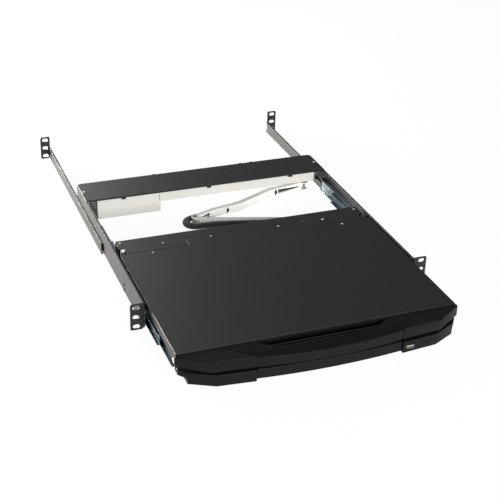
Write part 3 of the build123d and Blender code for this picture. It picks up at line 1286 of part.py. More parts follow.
def front_cable_clips():
    """Clips that hold the cable in front of the front link, each with a foot on the web."""
    aside = ARM_FRONT_FLANGE + CABLE_DIAMETER / 2 + RUNNING_GAP
    half = CABLE_CLIP_WIDTH / 2
    near_side = aside - CABLE_DIAMETER / 2 - RUNNING_GAP - CABLE_CLIP_SHEET / 2
    clips = []
    for share in FRONT_CLIP_SHARES:
        x = share * ARM_LINK_LENGTH
        foot = block((x - half, x + half), (-ARM_SHEET, -near_side),
                     (arm_middle_z - half, arm_middle_z + half))
        clips.append(placed_link(-1, clip_ring(-1, share, aside) + foot - clip_core(x, -aside)))
    return together(clips)


def clip_core(x, y):
    """Room for the cable inside a clip."""
    radius = CABLE_DIAMETER / 2 + RUNNING_GAP
    return rod((x - CABLE_TIE_HEAD, y, arm_middle_z), radius, CABLE_TIE_HEAD * 2, "x")


def grommet(axis, centre, wall):
    """A rubber grommet in a wall, with a rim on both faces; the centre is on the wall's low face."""
    low = list(centre)
    number = "xyz".index(axis)
    low[number] -= GROMMET_RIM
    ring = rod(tuple(centre), GROMMET_DIAMETER / 2 - GROMMET_RIM, wall, axis)
    ring += rod(tuple(low), GROMMET_DIAMETER / 2, GROMMET_RIM, axis)
    high = list(centre)
    high[number] += wall
    ring += rod(tuple(high), GROMMET_DIAMETER / 2, GROMMET_RIM, axis)
    low[number] -= OVERRUN
    return ring - rod(tuple(low), CABLE_DIAMETER / 2, wall + (GROMMET_RIM + OVERRUN) * 2, axis)


def rear_cable_grommet():
    """Grommet in the floor of the rear housing."""
    x, y, _ = rear_tail_points()[-1]
    return grommet("z", (x, y, HOUSING_STEP_Z), HOUSING_SHEET)


def front_cable_grommet():
    """Grommet in the rear wall of the drawer."""
    x, _ = front_tail_points()[-1]
    return grommet("y", (x, BASE_REAR_Y - BASE_SHEET, arm_middle_z), BASE_SHEET)


def paired_pieces():
    """Right-hand pieces that have a mirror image in a node of its own."""
    return {
        "rear_bracket": together([rear_bracket(), bracket_stud()]), "middle_slide": middle_slide(),
        "release_catch": release_catch(), "pad_button": push_key(*pad_button_box(1, 0)),
    }


def grouped_pieces():
    """Right-hand pieces that share one node with their mirror image."""
    return {
        "main_rails": main_rail(), "outer_slides": outer_slide(), "inner_slides": inner_slide(),
        "upper_bezel_ends": upper_bezel_end(), "hinge_arms": hinge_arm(), "hinge_cheeks": hinge_cheek(),
        "hinge_caps": hinge_cap(),
    }


def drawer_pieces():
    """Single pieces of the drawer and its lid."""
    return {
        "base_pan": base_pan(), "hinge_cover": hinge_cover(), "keyboard_deck": keyboard_deck(),
        "key_plate": key_plate(), "keycaps": fixed_keys(), "space_bar": space_bar(), "touchpad": touchpad(),
        "lower_bezel_centre": lower_bezel_centre(), "lower_bezel_right": lower_bezel_right(),
        "lower_bezel_left": mirrored(lower_bezel_end(), -1), "front_usb_socket": front_usb_socket(),
        "front_usb_tongue": front_usb_tongue(), "drawer_tongue": drawer_tongue(), "lid_shell": lid_shell(),
        "screen_frame": screen_frame(), "display_glass": display_glass(), "display_panel": display_panel(),
        "upper_bezel_centre": upper_bezel_centre(),
    } | {f"osd_button_{number + 1}": osd_button(number) for number in range(OSD_BUTTON_COUNT)}


def rear_pieces():
    """Single pieces of the rear housing and its ports."""
    return {
        "rear_cover": rear_cover(), "rear_housing": rear_housing(), "rear_panel": rear_panel(),
        "power_inlet": power_inlet(), "inlet_pins": inlet_pins(), "switch_body": switch_body(),
        "switch_rocker": switch_rocker(), "port_shells": together([video_port(), usb_ports()]),
        "port_inserts": together([video_insert(), usb_port_tongues()]),
    }


def arm_pieces():
    """Pieces of the cable arm and its cable."""
    return {
        "rear_link": rear_link(), "front_link": front_link(), "arm_rear_pin": arm_rear_pin(),
        "elbow_pin": elbow_pin(), "arm_front_pin": arm_front_pin(), "rear_cable_clips": rear_cable_clips(),
        "front_cable_clips": front_cable_clips(), "rear_cable_grommet": rear_cable_grommet(),
        "front_cable_grommet": front_cable_grommet(),
        "cable_rear_run": cable(rear_run_points(), CABLE_BEND_RADIUS),
        "cable_elbow_loop": cable(elbow_loop_points(), CABLE_LOOP_RADIUS),
        "cable_front_run": cable(front_run_points(), CABLE_BEND_RADIUS),
        "cable_rear_tail": cable(rear_tail_points(), CABLE_TAIL_RADIUS),
        "cable_front_tail": cable(front_tail_points(), CABLE_TAIL_RADIUS),
    }


def main():
    """Build every piece and write it to its own file."""
    os.makedirs("parts", exist_ok=True)
    for name, shape in paired_pieces().items():
        for side_name, side in SIDES:
            save(f"{name}_{side_name}", mirrored(shape, side))
    for name, shape in grouped_pieces().items():
        save(name, together([mirrored(shape, side) for _, side in SIDES]))
    for name, shape in (drawer_pieces() | rear_pieces() | arm_pieces()).items():
        save(name, shape)


main()
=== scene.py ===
"""Looks of the rack-mounted console drawer: finishes, small fasteners, the braided cable and the studio."""
import json
import logging
import math
from dataclasses import dataclass, field
from enum import Enum
from typing import Callable, Iterable, Sequence, Union

import bmesh
import bpy
from mathutils import Matrix, Vector

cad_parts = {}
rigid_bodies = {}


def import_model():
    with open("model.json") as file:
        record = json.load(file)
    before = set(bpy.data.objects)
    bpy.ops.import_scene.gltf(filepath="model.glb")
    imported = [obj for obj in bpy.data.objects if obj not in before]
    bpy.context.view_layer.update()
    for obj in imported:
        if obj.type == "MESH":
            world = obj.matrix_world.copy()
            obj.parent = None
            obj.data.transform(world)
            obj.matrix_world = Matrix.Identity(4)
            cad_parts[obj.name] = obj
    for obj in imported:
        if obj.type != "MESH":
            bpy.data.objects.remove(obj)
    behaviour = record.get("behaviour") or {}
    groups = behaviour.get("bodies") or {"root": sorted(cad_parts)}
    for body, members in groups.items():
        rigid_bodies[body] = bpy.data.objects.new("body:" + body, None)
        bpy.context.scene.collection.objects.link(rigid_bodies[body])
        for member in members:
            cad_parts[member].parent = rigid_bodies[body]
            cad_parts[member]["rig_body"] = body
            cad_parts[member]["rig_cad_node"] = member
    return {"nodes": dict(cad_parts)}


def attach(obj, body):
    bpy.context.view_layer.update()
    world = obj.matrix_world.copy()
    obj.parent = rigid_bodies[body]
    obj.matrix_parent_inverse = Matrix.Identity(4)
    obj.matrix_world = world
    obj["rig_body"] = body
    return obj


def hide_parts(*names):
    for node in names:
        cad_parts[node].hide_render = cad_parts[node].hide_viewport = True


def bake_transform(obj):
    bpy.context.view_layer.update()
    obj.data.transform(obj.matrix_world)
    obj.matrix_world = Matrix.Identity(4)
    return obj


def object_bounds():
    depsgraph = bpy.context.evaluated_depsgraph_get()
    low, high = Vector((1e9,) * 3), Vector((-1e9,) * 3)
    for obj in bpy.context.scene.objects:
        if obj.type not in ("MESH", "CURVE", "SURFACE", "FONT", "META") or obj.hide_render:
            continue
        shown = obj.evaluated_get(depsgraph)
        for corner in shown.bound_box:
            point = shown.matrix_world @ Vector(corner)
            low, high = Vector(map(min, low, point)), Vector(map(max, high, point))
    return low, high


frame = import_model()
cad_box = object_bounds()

log = logging.getLogger("console_drawer")
Colour = tuple[float, float, float]
Point = tuple[float, float, float]

MM = 0.001
ARM_MIDDLE_Z = -10.2
TURNED_LINES: Point = (2600.0, 2600.0, 900.0)


def metres(millimetres: Iterable[float]) -> tuple[float, ...]:
    """A size or a place in metres."""
    return tuple(value * MM for value in millimetres)


class Axis(Enum):
    """Which way a fastener's head faces."""

    UP = (0.0, 0.0, 1.0)
    LEFT = (-1.0, 0.0, 0.0)
    RIGHT = (1.0, 0.0, 0.0)
    BACK = (0.0, 1.0, 0.0)


class Value:
    """A number that changes over a surface, with arithmetic that adds Math nodes."""

    def __init__(self, graph: "Graph", socket: bpy.types.NodeSocket) -> None:
        """Keep the graph and the socket that gives the number."""
        self.graph = graph
        self.socket = socket

    def __add__(self, other: "Number") -> "Value":
        """Sum."""
        return self.graph.math("ADD", self, other)

    def __sub__(self, other: "Number") -> "Value":
        """Difference."""
        return self.graph.math("SUBTRACT", self, other)

    def __rsub__(self, other: "Number") -> "Value":
        """Difference from a number."""
        return self.graph.math("SUBTRACT", other, self)

    def __mul__(self, other: "Number") -> "Value":
        """Product."""
        return self.graph.math("MULTIPLY", self, other)

    __radd__ = __add__

    def power(self, exponent: float) -> "Value":
        """The number raised to a power."""
        return self.graph.math("POWER", self, exponent)

    def sine(self) -> "Value":
        """Sine of the number, in radians."""
        return self.graph.math("SINE", self)

    def size(self) -> "Value":
        """The number without its sign."""
        return self.graph.math("ABSOLUTE", self)

    def above(self, limit: float, spread: float) -> "Value":
        """A soft step from 0 to 1 about a limit.

        Args:
            limit: Where the step is half way.
            spread: Half the width of the step.
        Returns:
            The share of the step.
        """
        return self.graph.node("ShaderNodeMapRange", {"interpolation_type": "SMOOTHSTEP"},
                               {"Value": self, "From Min": limit - spread, "From Max": limit + spread})


Number = Union[Value, float]


class Graph:
    """The node tree of one material, with its surface shader."""

    def __init__(self, name: str) -> None:
        """Start a material with only an output and a surface shader."""
        self.material = bpy.data.materials.new(name)
        self.material.use_nodes = True
        self.tree = self.material.node_tree
        self.tree.nodes.clear()
        self.output = self.tree.nodes.new("ShaderNodeOutputMaterial")
        self.shader = self.tree.nodes.new("ShaderNodeBsdfPrincipled")
        self.tree.links.new(self.shader.outputs[0], self.output.inputs["Surface"])

    def feed(self, node: bpy.types.Node, socket: Union[str, int], value: object) -> None:
        """Set a socket of a node to a value, or link it."""
        target = node.inputs[socket]
        if isinstance(value, Value):
            self.tree.links.new(value.socket, target)
        elif isinstance(value, tuple) and len(value) == 3 and target.type == "RGBA":
            target.default_value = (*value, 1.0)
        else:
            target.default_value = value

    def node(self, kind: str, settings: dict[str, object], inputs: dict[Union[str, int], object],
             output: Union[str, int] = 0) -> Value:
        """Add a node.

        Args:
            kind: The node's type.
            settings: Its properties, set before its sockets.
            inputs: Values or links of its sockets.
            output: The socket that is used.
        Returns:
            That socket as a value.
        """
        made = self.tree.nodes.new(kind)
        for name, value in settings.items():
            setattr(made, name, value)
        for socket, value in inputs.items():
            self.feed(made, socket, value)
        return Value(self, made.outputs[output])

    def math(self, operation: str, *terms: Number) -> Value:
        """Add a Math node."""
        return self.node("ShaderNodeMath", {"operation": operation}, dict(enumerate(terms)))

    def place(self, source: str = "Object") -> Value:
        """Coordinates on the surface."""
        return self.node("ShaderNodeTexCoord", {}, {}, source)

    def stretched(self, scale: Point, source: str = "Object") -> Value:
        """Coordinates with their own scale along each axis."""
        return self.node("ShaderNodeMapping", {}, {"Vector": self.place(source), "Scale": scale})

    def noise(self, scale: float, detail: float = 2.0, where: Union[Value, None] = None) -> Value:
        """Soft random variation, about 0.5."""
        return self.node("ShaderNodeTexNoise", {}, {"Vector": where or self.place(), "Scale": scale,
                                                    "Detail": detail}, "Fac")

    def blend(self, share: Number, first: Union[Value, Colour], second: Union[Value, Colour]) -> Value:
        """Mix two colours."""
        made = self.node("ShaderNodeMix", {"data_type": "RGBA"}, {0: share}, 2)
        self.feed(made.socket.node, 6, first)
        self.feed(made.socket.node, 7, second)
        return made

    def bump(self, height: Value, depth: float, strength: float = 1.0) -> None:
        """Raise the surface by a height, whose full step is a depth in metres."""
        normal = self.node("ShaderNodeBump", {}, {"Height": height, "Distance": depth, "Strength": strength})
        self.feed(self.shader, "Normal", normal)

    def set(self, **values: object) -> None:
        """Set sockets of the surface shader; a name's underscores stand for spaces."""
        for name, value in values.items():
            self.feed(self.shader, name.replace("_", " "), value)


@dataclass(frozen=True)
class PowderCoat:
    """Baked powder coat on sheet metal, with its fine orange peel and handling marks."""

    name: str
    colour: Colour
    roughness: float = 0.5
    shine: float = 0.35
    peel: float = 0.00003
    peel_scale: float = 2200.0
    mottle: float = 0.10

    def build(self) -> bpy.types.Material:
        """Make the material."""
        graph = Graph(self.name)
        cloud = graph.noise(scale=22.0, detail=4.0)
        speck = graph.noise(scale=self.peel_scale, detail=1.0)
        pale = tuple(min(1.0, c * (1 + self.mottle)) for c in self.colour)
        deep = tuple(c * (1 - self.mottle) for c in self.colour)
        smear = graph.noise(scale=7.0, detail=5.0, where=graph.stretched((1.0, 3.0, 1.0))).above(0.58, 0.10)
        graph.set(Base_Color=graph.blend(cloud * 0.6 + speck * 0.4, deep, pale),
                  Roughness=self.roughness + speck * 0.10 - smear * 0.015,
                  Specular_IOR_Level=self.shine)
        graph.bump(speck, depth=self.peel, strength=0.6)
        return graph.material


@dataclass(frozen=True)
class MouldedPlastic:
    """Injection-moulded plastic with an eroded grain."""

    name: str
    colour: Colour
    roughness: float = 0.5
    shine: float = 0.4
    grain: float = 0.00003
    grain_scale: float = 1800.0

    def build(self) -> bpy.types.Material:
        """Make the material."""
        graph = Graph(self.name)
        grain = graph.node("ShaderNodeTexVoronoi", {"feature": "SMOOTH_F1"},
                           {"Vector": graph.place(), "Scale": self.grain_scale}, "Distance")
        flow = graph.noise(scale=16.0, detail=3.0)
        darker = tuple(c * 0.85 for c in self.colour)
        graph.set(Base_Color=graph.blend(flow, darker, self.colour),
                  Roughness=self.roughness + flow * 0.08 - 0.04 + grain * 0.06,
                  Specular_IOR_Level=self.shine)
        graph.bump(grain, depth=self.grain, strength=0.5)
        return graph.material


@dataclass(frozen=True)
class PlatedSteel:
    """Rolled or turned steel under a thin plate, with lines along its length and a passivation tint."""

    name: str
    colour: Colour
    tint: Colour
    roughness: float = 0.30
    line_scale: Point = (900.0, 6.0, 900.0)

    def build(self) -> bpy.types.Material:
        """Make the material."""
        graph = Graph(self.name)
        lines = graph.noise(scale=1.0, detail=3.0, where=graph.stretched(self.line_scale))
        bloom = graph.noise(scale=30.0, detail=4.0)
        scuff = graph.noise(scale=90.0, detail=6.0, where=graph.stretched((1.0, 0.15, 1.0))).above(0.66, 0.05)
        graph.set(Base_Color=graph.blend(bloom, self.colour, self.tint), Metallic=1.0,
                  Roughness=self.roughness + lines * 0.16 + scuff * 0.18 - 0.05)
        graph.bump(lines, depth=0.00002, strength=0.5)
        return graph.material


@dataclass(frozen=True)
class DisplayGlass:
    """Anti-glare front of a display that is off."""

    name: str = "display_glass_dark"

    def build(self) -> bpy.types.Material:
        """Make the material."""
        graph = Graph(self.name)
        etch = graph.noise(scale=6000.0, detail=1.0)
        smear = graph.noise(scale=14.0, detail=5.0).above(0.6, 0.4)
        tint = graph.blend(graph.noise(scale=40.0), (0.006, 0.006, 0.008), (0.010, 0.011, 0.014))
        graph.set(Base_Color=tint, Roughness=0.20 + etch * 0.08 + smear * 0.012)
        graph.bump(etch, depth=0.000004, strength=0.4)
        return graph.material


@dataclass(frozen=True)
class BraidedSleeve:
    """Woven sleeve of a cable: two sets of strands that pass over and under each other."""

    name: str = "braided_sleeve_black"
    colour: Colour = (0.007, 0.007, 0.008)
    glint: Colour = (0.085, 0.085, 0.088)
    strands: float = 14.0
    rows_per_metre: float = 420.0

    def build(self) -> bpy.types.Material:
        """Make the material; it reads the sleeve's own map, along in metres and around in turns."""
        graph = Graph(self.name)
        along, around = self.split(graph)
        turn = around * (self.strands * math.tau)
        run = along * (self.rows_per_metre * math.pi)
        rising = (turn + run).sine().size()
        falling = (turn - run).sine().size()
        checker = ((turn * 0.5).sine() * (run * 0.5).sine()).above(0.0, 0.3)
        weave = rising * checker + falling * (1 - checker)
        fibre = graph.noise(scale=5200.0, detail=2.0)
        # The strands' crests are blended towards the glint colour: a painted highlight on the black sleeve.
        graph.set(Base_Color=graph.blend(weave.power(3.0) * (0.5 + fibre * 0.5), self.colour, self.glint),
                  Roughness=0.62 - weave * 0.22, Specular_IOR_Level=0.5)
        graph.bump(weave + fibre * 0.2, depth=0.0005, strength=0.9)
        return graph.material

    def split(self, graph: Graph) -> tuple[Value, Value]:
        """Places along and around the sleeve."""
        first = graph.node("ShaderNodeSeparateXYZ", {}, {0: graph.place("UV")}, "X")
        return first, Value(graph, first.socket.node.outputs["Y"])


@dataclass(frozen=True)
class Finishes:
    """All the finishes, each built once."""

    made: dict[str, bpy.types.Material] = field(default_factory=dict)

    def recipes(self) -> dict[str, object]:
        """The finish of each material slot of the record, and of small trim."""
        named = (
            PowderCoat("coated_black", (0.011, 0.011, 0.011), 0.40, 0.30),
            PowderCoat("lid_black", (0.010, 0.010, 0.010), 0.40, 0.30),
            # A darker copy of the cream coat for the rear housing: painted shade.
            PowderCoat("cream_shaded_housing", (0.55, 0.54, 0.50), 0.44, 0.40, mottle=0.02),
            PowderCoat("cream_coated", (0.82, 0.81, 0.77), 0.42, 0.45, mottle=0.02),
            MouldedPlastic("bezel_black", (0.005, 0.005, 0.005), 0.38, 0.12),
            MouldedPlastic("cream_plastic", (0.86, 0.83, 0.75), 0.38, 0.5),
            MouldedPlastic("deck_black", (0.018, 0.018, 0.019), 0.55, 0.35, grain=0.00006),
            MouldedPlastic("key_black", (0.022, 0.022, 0.024), 0.48, 0.40, grain_scale=2600.0),
            MouldedPlastic("usb_white", (0.42, 0.40, 0.34), 0.35, 0.5),
            MouldedPlastic("insert_blue", (0.03, 0.08, 0.33), 0.40, 0.45),
            MouldedPlastic("inlet_black", (0.016, 0.016, 0.017), 0.40, 0.45),
            MouldedPlastic("tie_black", (0.020, 0.020, 0.021), 0.38, 0.5),
            MouldedPlastic("rubber_black", (0.016, 0.016, 0.016), 0.72, 0.3),
            PlatedSteel("zinc_plated", (0.22, 0.30, 0.34), (0.34, 0.38, 0.40), 0.40),
            # A darker copy of the zinc plate: painted shade for slide webs that lie in shadow inside the
            # rails.
            PlatedSteel("zinc_painted_shade", (0.06, 0.09, 0.105), (0.10, 0.135, 0.155), 0.38),
            PlatedSteel("panel_steel", (0.62, 0.62, 0.62), (0.70, 0.70, 0.69)),
            PlatedSteel("pin_steel", (0.20, 0.20, 0.20), (0.30, 0.30, 0.29), 0.30, (600.0, 600.0, 2400.0)),
            PlatedSteel("usb_steel", (0.50, 0.46, 0.36), (0.44, 0.41, 0.34), 0.26),
            PlatedSteel("screw_black", (0.060, 0.060, 0.064), (0.095, 0.093, 0.090), 0.34, TURNED_LINES),
            PlatedSteel("screw_steel", (0.42, 0.42, 0.41), (0.56, 0.56, 0.55), 0.34, TURNED_LINES),
            PlatedSteel("brass_turned", (0.80, 0.56, 0.24), (0.86, 0.66, 0.34), 0.24, TURNED_LINES),
        )
        return {"glass_dark": DisplayGlass(), "cable_black": BraidedSleeve(),
                **{finish.name: finish for finish in named}}

    def get(self, name: str) -> bpy.types.Material:
        """One finish's material."""
        if name not in self.made:
            self.made[name] = self.recipes()[name].build()
        return self.made[name]


FINISHES = Finishes()


class Bench:
    """Modelling by hand: starts, picks, shapes and finishes meshes."""

    @staticmethod
    def clear() -> None:
        """Leave edit mode and let go of everything."""
        if bpy.context.mode != "OBJECT":
            bpy.ops.object.mode_set(mode="OBJECT")
        bpy.ops.object.select_all(action="DESELECT")

    @classmethod
    def hold(cls, piece: bpy.types.Object) -> None:
        """Make one piece the only one that is selected."""
        cls.clear()
        piece.select_set(True)
        bpy.context.view_layer.objects.active = piece

    @classmethod
    def cylinder(cls, name: str, radius: float, depth: float, sides: int = 32) -> bpy.types.Object:
        """A cylinder that stands on the origin."""
        cls.clear()
        bpy.ops.mesh.primitive_cylinder_add(vertices=sides, radius=radius, depth=depth,
                                            location=(0, 0, depth / 2))
        bpy.ops.object.transform_apply(location=True)
        bpy.context.object.name = name
        return bpy.context.object

    @classmethod
    def cube(cls, name: str, size: Point, centre: Point = (0, 0, 0)) -> bpy.types.Object:
        """A box of a size about a centre."""
        cls.clear()
        bpy.ops.mesh.primitive_cube_add(size=1, location=centre)
        bpy.context.object.scale = size
        bpy.ops.object.transform_apply(location=True, scale=True)
        bpy.context.object.name = name
        return bpy.context.object

    @classmethod
    def pick(cls, piece: bpy.types.Object, wanted: Callable[[bmesh.types.BMFace], bool]) -> None:
        """Enter edit mode on a piece and select the faces that are wanted."""
        cls.hold(piece)
        bpy.ops.object.mode_set(mode="EDIT")
        bpy.ops.mesh.select_mode(type="FACE")
        bpy.ops.mesh.select_all(action="DESELECT")
        mesh = bmesh.from_edit_mesh(piece.data)
        for face in mesh.faces:
            face.select = wanted(face)
        mesh.select_flush(True)
        bmesh.update_edit_mesh(piece.data)

    @classmethod
    def modify(cls, piece: bpy.types.Object, kind: str, **settings: object) -> None:
        """Add a modifier and apply it."""
        cls.hold(piece)
        made = piece.modifiers.new(kind.lower(), kind)
        for name, value in settings.items():
            setattr(made, name, value)
        bpy.ops.object.modifier_apply(modifier=made.name)

    @classmethod
    def soften(cls, piece: bpy.types.Object, edge: float, segments: int = 2) -> None:
        """Round the sharp edges of a piece and smooth its shading."""
        cls.modify(piece, "BEVEL", width=edge, segments=segments, limit_method="ANGLE",
                   angle_limit=math.radians(35), use_clamp_overlap=True)
        cls.hold(piece)
        bpy.ops.object.shade_smooth_by_angle(angle=math.radians(50))
        cls.modify(piece, "WEIGHTED_NORMAL", keep_sharp=True, weight=80)

    @classmethod
    def join(cls, name: str, pieces: Sequence[bpy.types.Object]) -> bpy.types.Object:
        """Join pieces into one."""
        cls.clear()
        for piece in pieces:
            piece.select_set(True)
        bpy.context.view_layer.objects.active = pieces[0]
        if len(pieces) > 1:
            bpy.ops.object.join()
        pieces[0].name = name
        return pieces[0]

    @classmethod
    def copies(cls, name: str, master: bpy.types.Object, places: Iterable[Matrix]) -> bpy.types.Object:
        """Copy a master to places, each copy with its own mesh, and join the copies.

        Args:
            name: Name of the joined piece.
            master: The piece that is copied; it is removed afterwards.
            places: One matrix for each copy.
        Returns:
            The joined piece, with its place in its mesh.
        """
        made = []
        for place in places:
            one = master.copy()
            one.data = master.data.copy()
            one.data.transform(place)
            bpy.context.scene.collection.objects.link(one)
            made.append(one)
        bpy.data.objects.remove(master)
        return cls.join(name, made)


def dress(piece: bpy.types.Object, finish: str, body: str) -> None:
    """Give a new piece its finish and its body, and report it.

    Args:
        piece: The piece.
        finish: The name of its finish.
        body: The body that it rides on.
    """
    piece.data.materials.clear()
    piece.data.materials.append(FINISHES.get(finish))
    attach(piece, body)
    log.info("%s: %s on %s, %d faces", piece.name, finish, body, len(piece.data.polygons))


def keep(node: str, finish: str) -> None:
    """Keep a CAD node's own mesh and give it its finish."""
    piece = frame["nodes"][node]
    piece.data.materials.clear()
    piece.data.materials.append(FINISHES.get(finish))
    log.info("%s: %s, kept as built", node, finish)


def form(node: str, finish: str, edge: float, segments: int = 2, shade_finish: Union[str, None] = None) -> None:
    """Replace a CAD node by a merged copy with rounded edges.

    Args:
        node: The node.
        finish: The record's material slot.
        edge: Width of the rounding, in metres.
        segments: Steps of the rounding.
        shade_finish: The name of a darker copy of its finish, painted shade, used where it differs from the
            slot's.
    """
    source = frame["nodes"][node]
    piece = source.copy()
    piece.data = source.data.copy()
    piece.parent = None
    piece.name = f"{node}_formed"
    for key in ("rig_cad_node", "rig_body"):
        del piece[key]
    bpy.context.scene.collection.objects.link(piece)
    Bench.hold(piece)
    bpy.ops.mesh.customdata_custom_splitnormals_clear()
    Bench.pick(piece, lambda face: True)
    bpy.ops.mesh.remove_doubles(threshold=0.000002)
    bpy.ops.mesh.dissolve_limited(angle_limit=math.radians(1.0))
    Bench.clear()
    Bench.soften(piece, edge, segments)
    body = source["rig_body"]
    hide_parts(node)
    dress(piece, shade_finish or finish, body)


@dataclass
class Screws:
    """Cross-recess pan-head screws, modelled once for each set and copied.

    Widths are shares of the head's diameter and heights are shares of its height; turns are in degrees.
    """

    sides: int = 28
    inset_share: float = 0.16
    dome_share: float = 0.12
    round_share: float = 0.3
    recess_reach_share: float = 0.62
    recess_width_share: float = 0.17
    recess_middle_share: float = 1.1
    first_turn: float = 23.0
    next_turn: float = 41.0

    def master(self, diameter: float, height: float) -> bpy.types.Object:
        """One domed head with a cross recess, standing on the origin.

        Args:
            diameter: Across the head, in metres.
            height: Of the head, in metres.
        Returns:
            The head.
        """
        head = Bench.cylinder("screw_head", diameter / 2, height, self.sides)
        Bench.pick(head, lambda face: face.normal.z > 0.9)
        bpy.ops.mesh.inset(thickness=diameter * self.inset_share, depth=0)
        bpy.ops.transform.translate(value=(0, 0, height * self.dome_share))
        Bench.clear()
        Bench.modify(head, "BEVEL", width=height * self.round_share, segments=2, limit_method="ANGLE",
                     angle_limit=math.radians(40))
        reach, width = diameter * self.recess_reach_share, diameter * self.recess_width_share
        arms = [Bench.cube("recess", size, (0, 0, height * self.recess_middle_share))
                for size in ((reach, width, height), (width, reach, height))]
        for arm in arms:
            Bench.modify(head, "BOOLEAN", operation="DIFFERENCE", object=arm, solver="EXACT")
            bpy.data.objects.remove(arm)
        Bench.hold(head)
        bpy.ops.object.shade_smooth_by_angle(angle=math.radians(35))
        return head

    def set_in(self, name: str, diameter: float, height: float, spots: Sequence[Point], facing: Axis,
               body: str, finish: str = "screw_black") -> None:
        """Place heads on a surface.

        Args:
            name: Name of the joined piece.
            diameter: Across each head, in millimetres.
            height: Of each head, in millimetres.
            spots: Middle of each head's foot, in millimetres.
            facing: The way the heads face.
            body: The body that they ride on.
            finish: Their finish.
        """
        turn = Vector((0, 0, 1)).rotation_difference(Vector(facing.value)).to_matrix().to_4x4()
        places = []
        for number, spot in enumerate(spots):
            twist = Matrix.Rotation(math.radians(self.first_turn + self.next_turn * number), 4, "Z")
            places.append(Matrix.Translation(Vector(spot) * MM) @ turn @ twist)
        dress(Bench.copies(name, self.master(diameter * MM, height * MM), places), finish, body)


@dataclass
class Rails:
    """Main rails, slides, rear brackets and release catches."""

    rail_outer: float = 221.4
    rail_screw_y: float = 108.0
    rail_screw_zs: tuple[float, ...] = (-7.4, -16.8)
    edge: float = 0.00035
    catch_pin_radius: float = 1.4
    catch_pin_length: float = 1.0
    catch_pin_foot: Point = (213.3, -120.5, -3.0)

    def build(self, screws: Screws) -> None:
        """Make and dress the pieces."""
        form("main_rails", "coated_black", edge=self.edge)
        form("outer_slides", "zinc_plated", edge=0.0002)
        # The inner and middle slides take the darker zinc copy: painted shade.
        form("inner_slides", "zinc_plated", edge=0.0002, shade_finish="zinc_painted_shade")
        for side in ("left", "right"):
            form(f"rear_bracket_{side}", "coated_black", edge=self.edge)
            form(f"middle_slide_{side}", "zinc_plated", edge=0.0002, shade_finish="zinc_painted_shade")
            form(f"release_catch_{side}", "cream_plastic", edge=0.0005, segments=3)
            self.catch_pin(side, -1 if side == "left" else 1)
        for side, facing, name in ((-1, Axis.LEFT, "left"), (1, Axis.RIGHT, "right")):
            spots = [(side * self.rail_outer, self.rail_screw_y, z) for z in self.rail_screw_zs]
            screws.set_in(f"rail_screws_{name}", diameter=6.2, height=0.7, spots=spots, facing=facing,
                          body="frame", finish="rubber_black")

    def catch_pin(self, side: str, sign: int) -> None:
        """Turned brass pin on the outer face of a release catch."""
        pin = Bench.cylinder(f"catch_pin_{side}", self.catch_pin_radius * MM, self.catch_pin_length * MM, 24)
        Bench.soften(pin, edge=0.0003)
        turn = Matrix.Rotation(math.radians(90 * sign), 4, "Y")
        x, y, z = self.catch_pin_foot
        pin.data.transform(Matrix.Translation(Vector((sign * x, y, z)) * MM) @ turn)
        dress(pin, "brass_turned", f"{side}_catch")


@dataclass
class DrawerBase:
    """Pan, hinge cover, deck, keyboard, touchpad and the front bezel of the drawer."""

    top_z: float = 18.9
    cover_screws: tuple[tuple[float, float], ...] = ((205.0, 190.0), (139.0, 171.0))
    # A painted highlight: a cream pad on the left hinge cheek only, where light catches it; the right cheek,
    # in shade, has none.
    cheek_highlight_pad: tuple[Point, Point] = ((5.0, 7.6, 0.5), (-207.1, 165.0, 18.85))

    def build(self, screws: Screws) -> None:
        """Make and dress the pieces."""
        for node in ("base_pan", "drawer_tongue", "hinge_cheeks"):
            form(node, "coated_black", edge=0.0003)
        form("hinge_cover", "coated_black", edge=0.0008, segments=3)
        form("hinge_caps", "cream_plastic", edge=0.0003)
        # Painted highlight: the cream pad goes on the left cheek only.
        size, centre = self.cheek_highlight_pad
        pad = Bench.cube("cheek_pad_left", metres(size), metres(centre))
        Bench.soften(pad, edge=0.00015)
        dress(pad, "cream_plastic", "drawer")
        form("keyboard_deck", "deck_black", edge=0.0004)
        keep("key_plate", "zinc_plated")
        form("keycaps", "key_black", edge=0.0005)
        form("space_bar", "key_black", edge=0.0005)
        form("touchpad", "deck_black", edge=0.0003)
        for side in ("left", "right"):
            form(f"pad_button_{side}", "deck_black", edge=0.0003)
        for part in ("centre", "left", "right"):
            form(f"lower_bezel_{part}", "bezel_black", edge=0.0009, segments=3)
        form("front_usb_socket", "usb_steel", edge=0.0001)
        form("front_usb_tongue", "usb_white", edge=0.0002)
        form("front_cable_grommet", "rubber_black", edge=0.0003)
        spots = [(side * x, y, self.top_z) for side in (-1, 1) for x, y in self.cover_screws]
        screws.set_in("hinge_cover_screws", diameter=4.4, height=0.7, spots=spots, facing=Axis.UP,
                      body="drawer", finish="screw_steel")


@dataclass
class Lid:
    """Lid shell with its display, buttons and grip bezel."""

    top_z: float = 18.9
    screw_spots: tuple[tuple[float, float], ...] = ((163.0, 145.5), (58.5, 170.5))

    def build(self, screws: Screws) -> None:
        """Make and dress the pieces."""
        form("lid_shell", "lid_black", edge=0.0007, segments=3)
        form("screen_frame", "bezel_black", edge=0.0003)
        form("display_glass", "glass_dark", edge=0.0002)
        keep("display_panel", "panel_steel")
        form("upper_bezel_centre", "bezel_black", edge=0.0008, segments=3)
        form("upper_bezel_ends", "bezel_black", edge=0.0006, segments=3)
        form("hinge_arms", "coated_black", edge=0.0003)
        for number in range(1, 5):
            form(f"osd_button_{number}", "key_black", edge=0.0003)
        spots = [(side * x, y, self.top_z) for side in (-1, 1) for x, y in self.screw_spots]
        screws.set_in("lid_screws", diameter=4.4, height=0.7, spots=spots, facing=Axis.UP,
                      body="lid", finish="screw_steel")


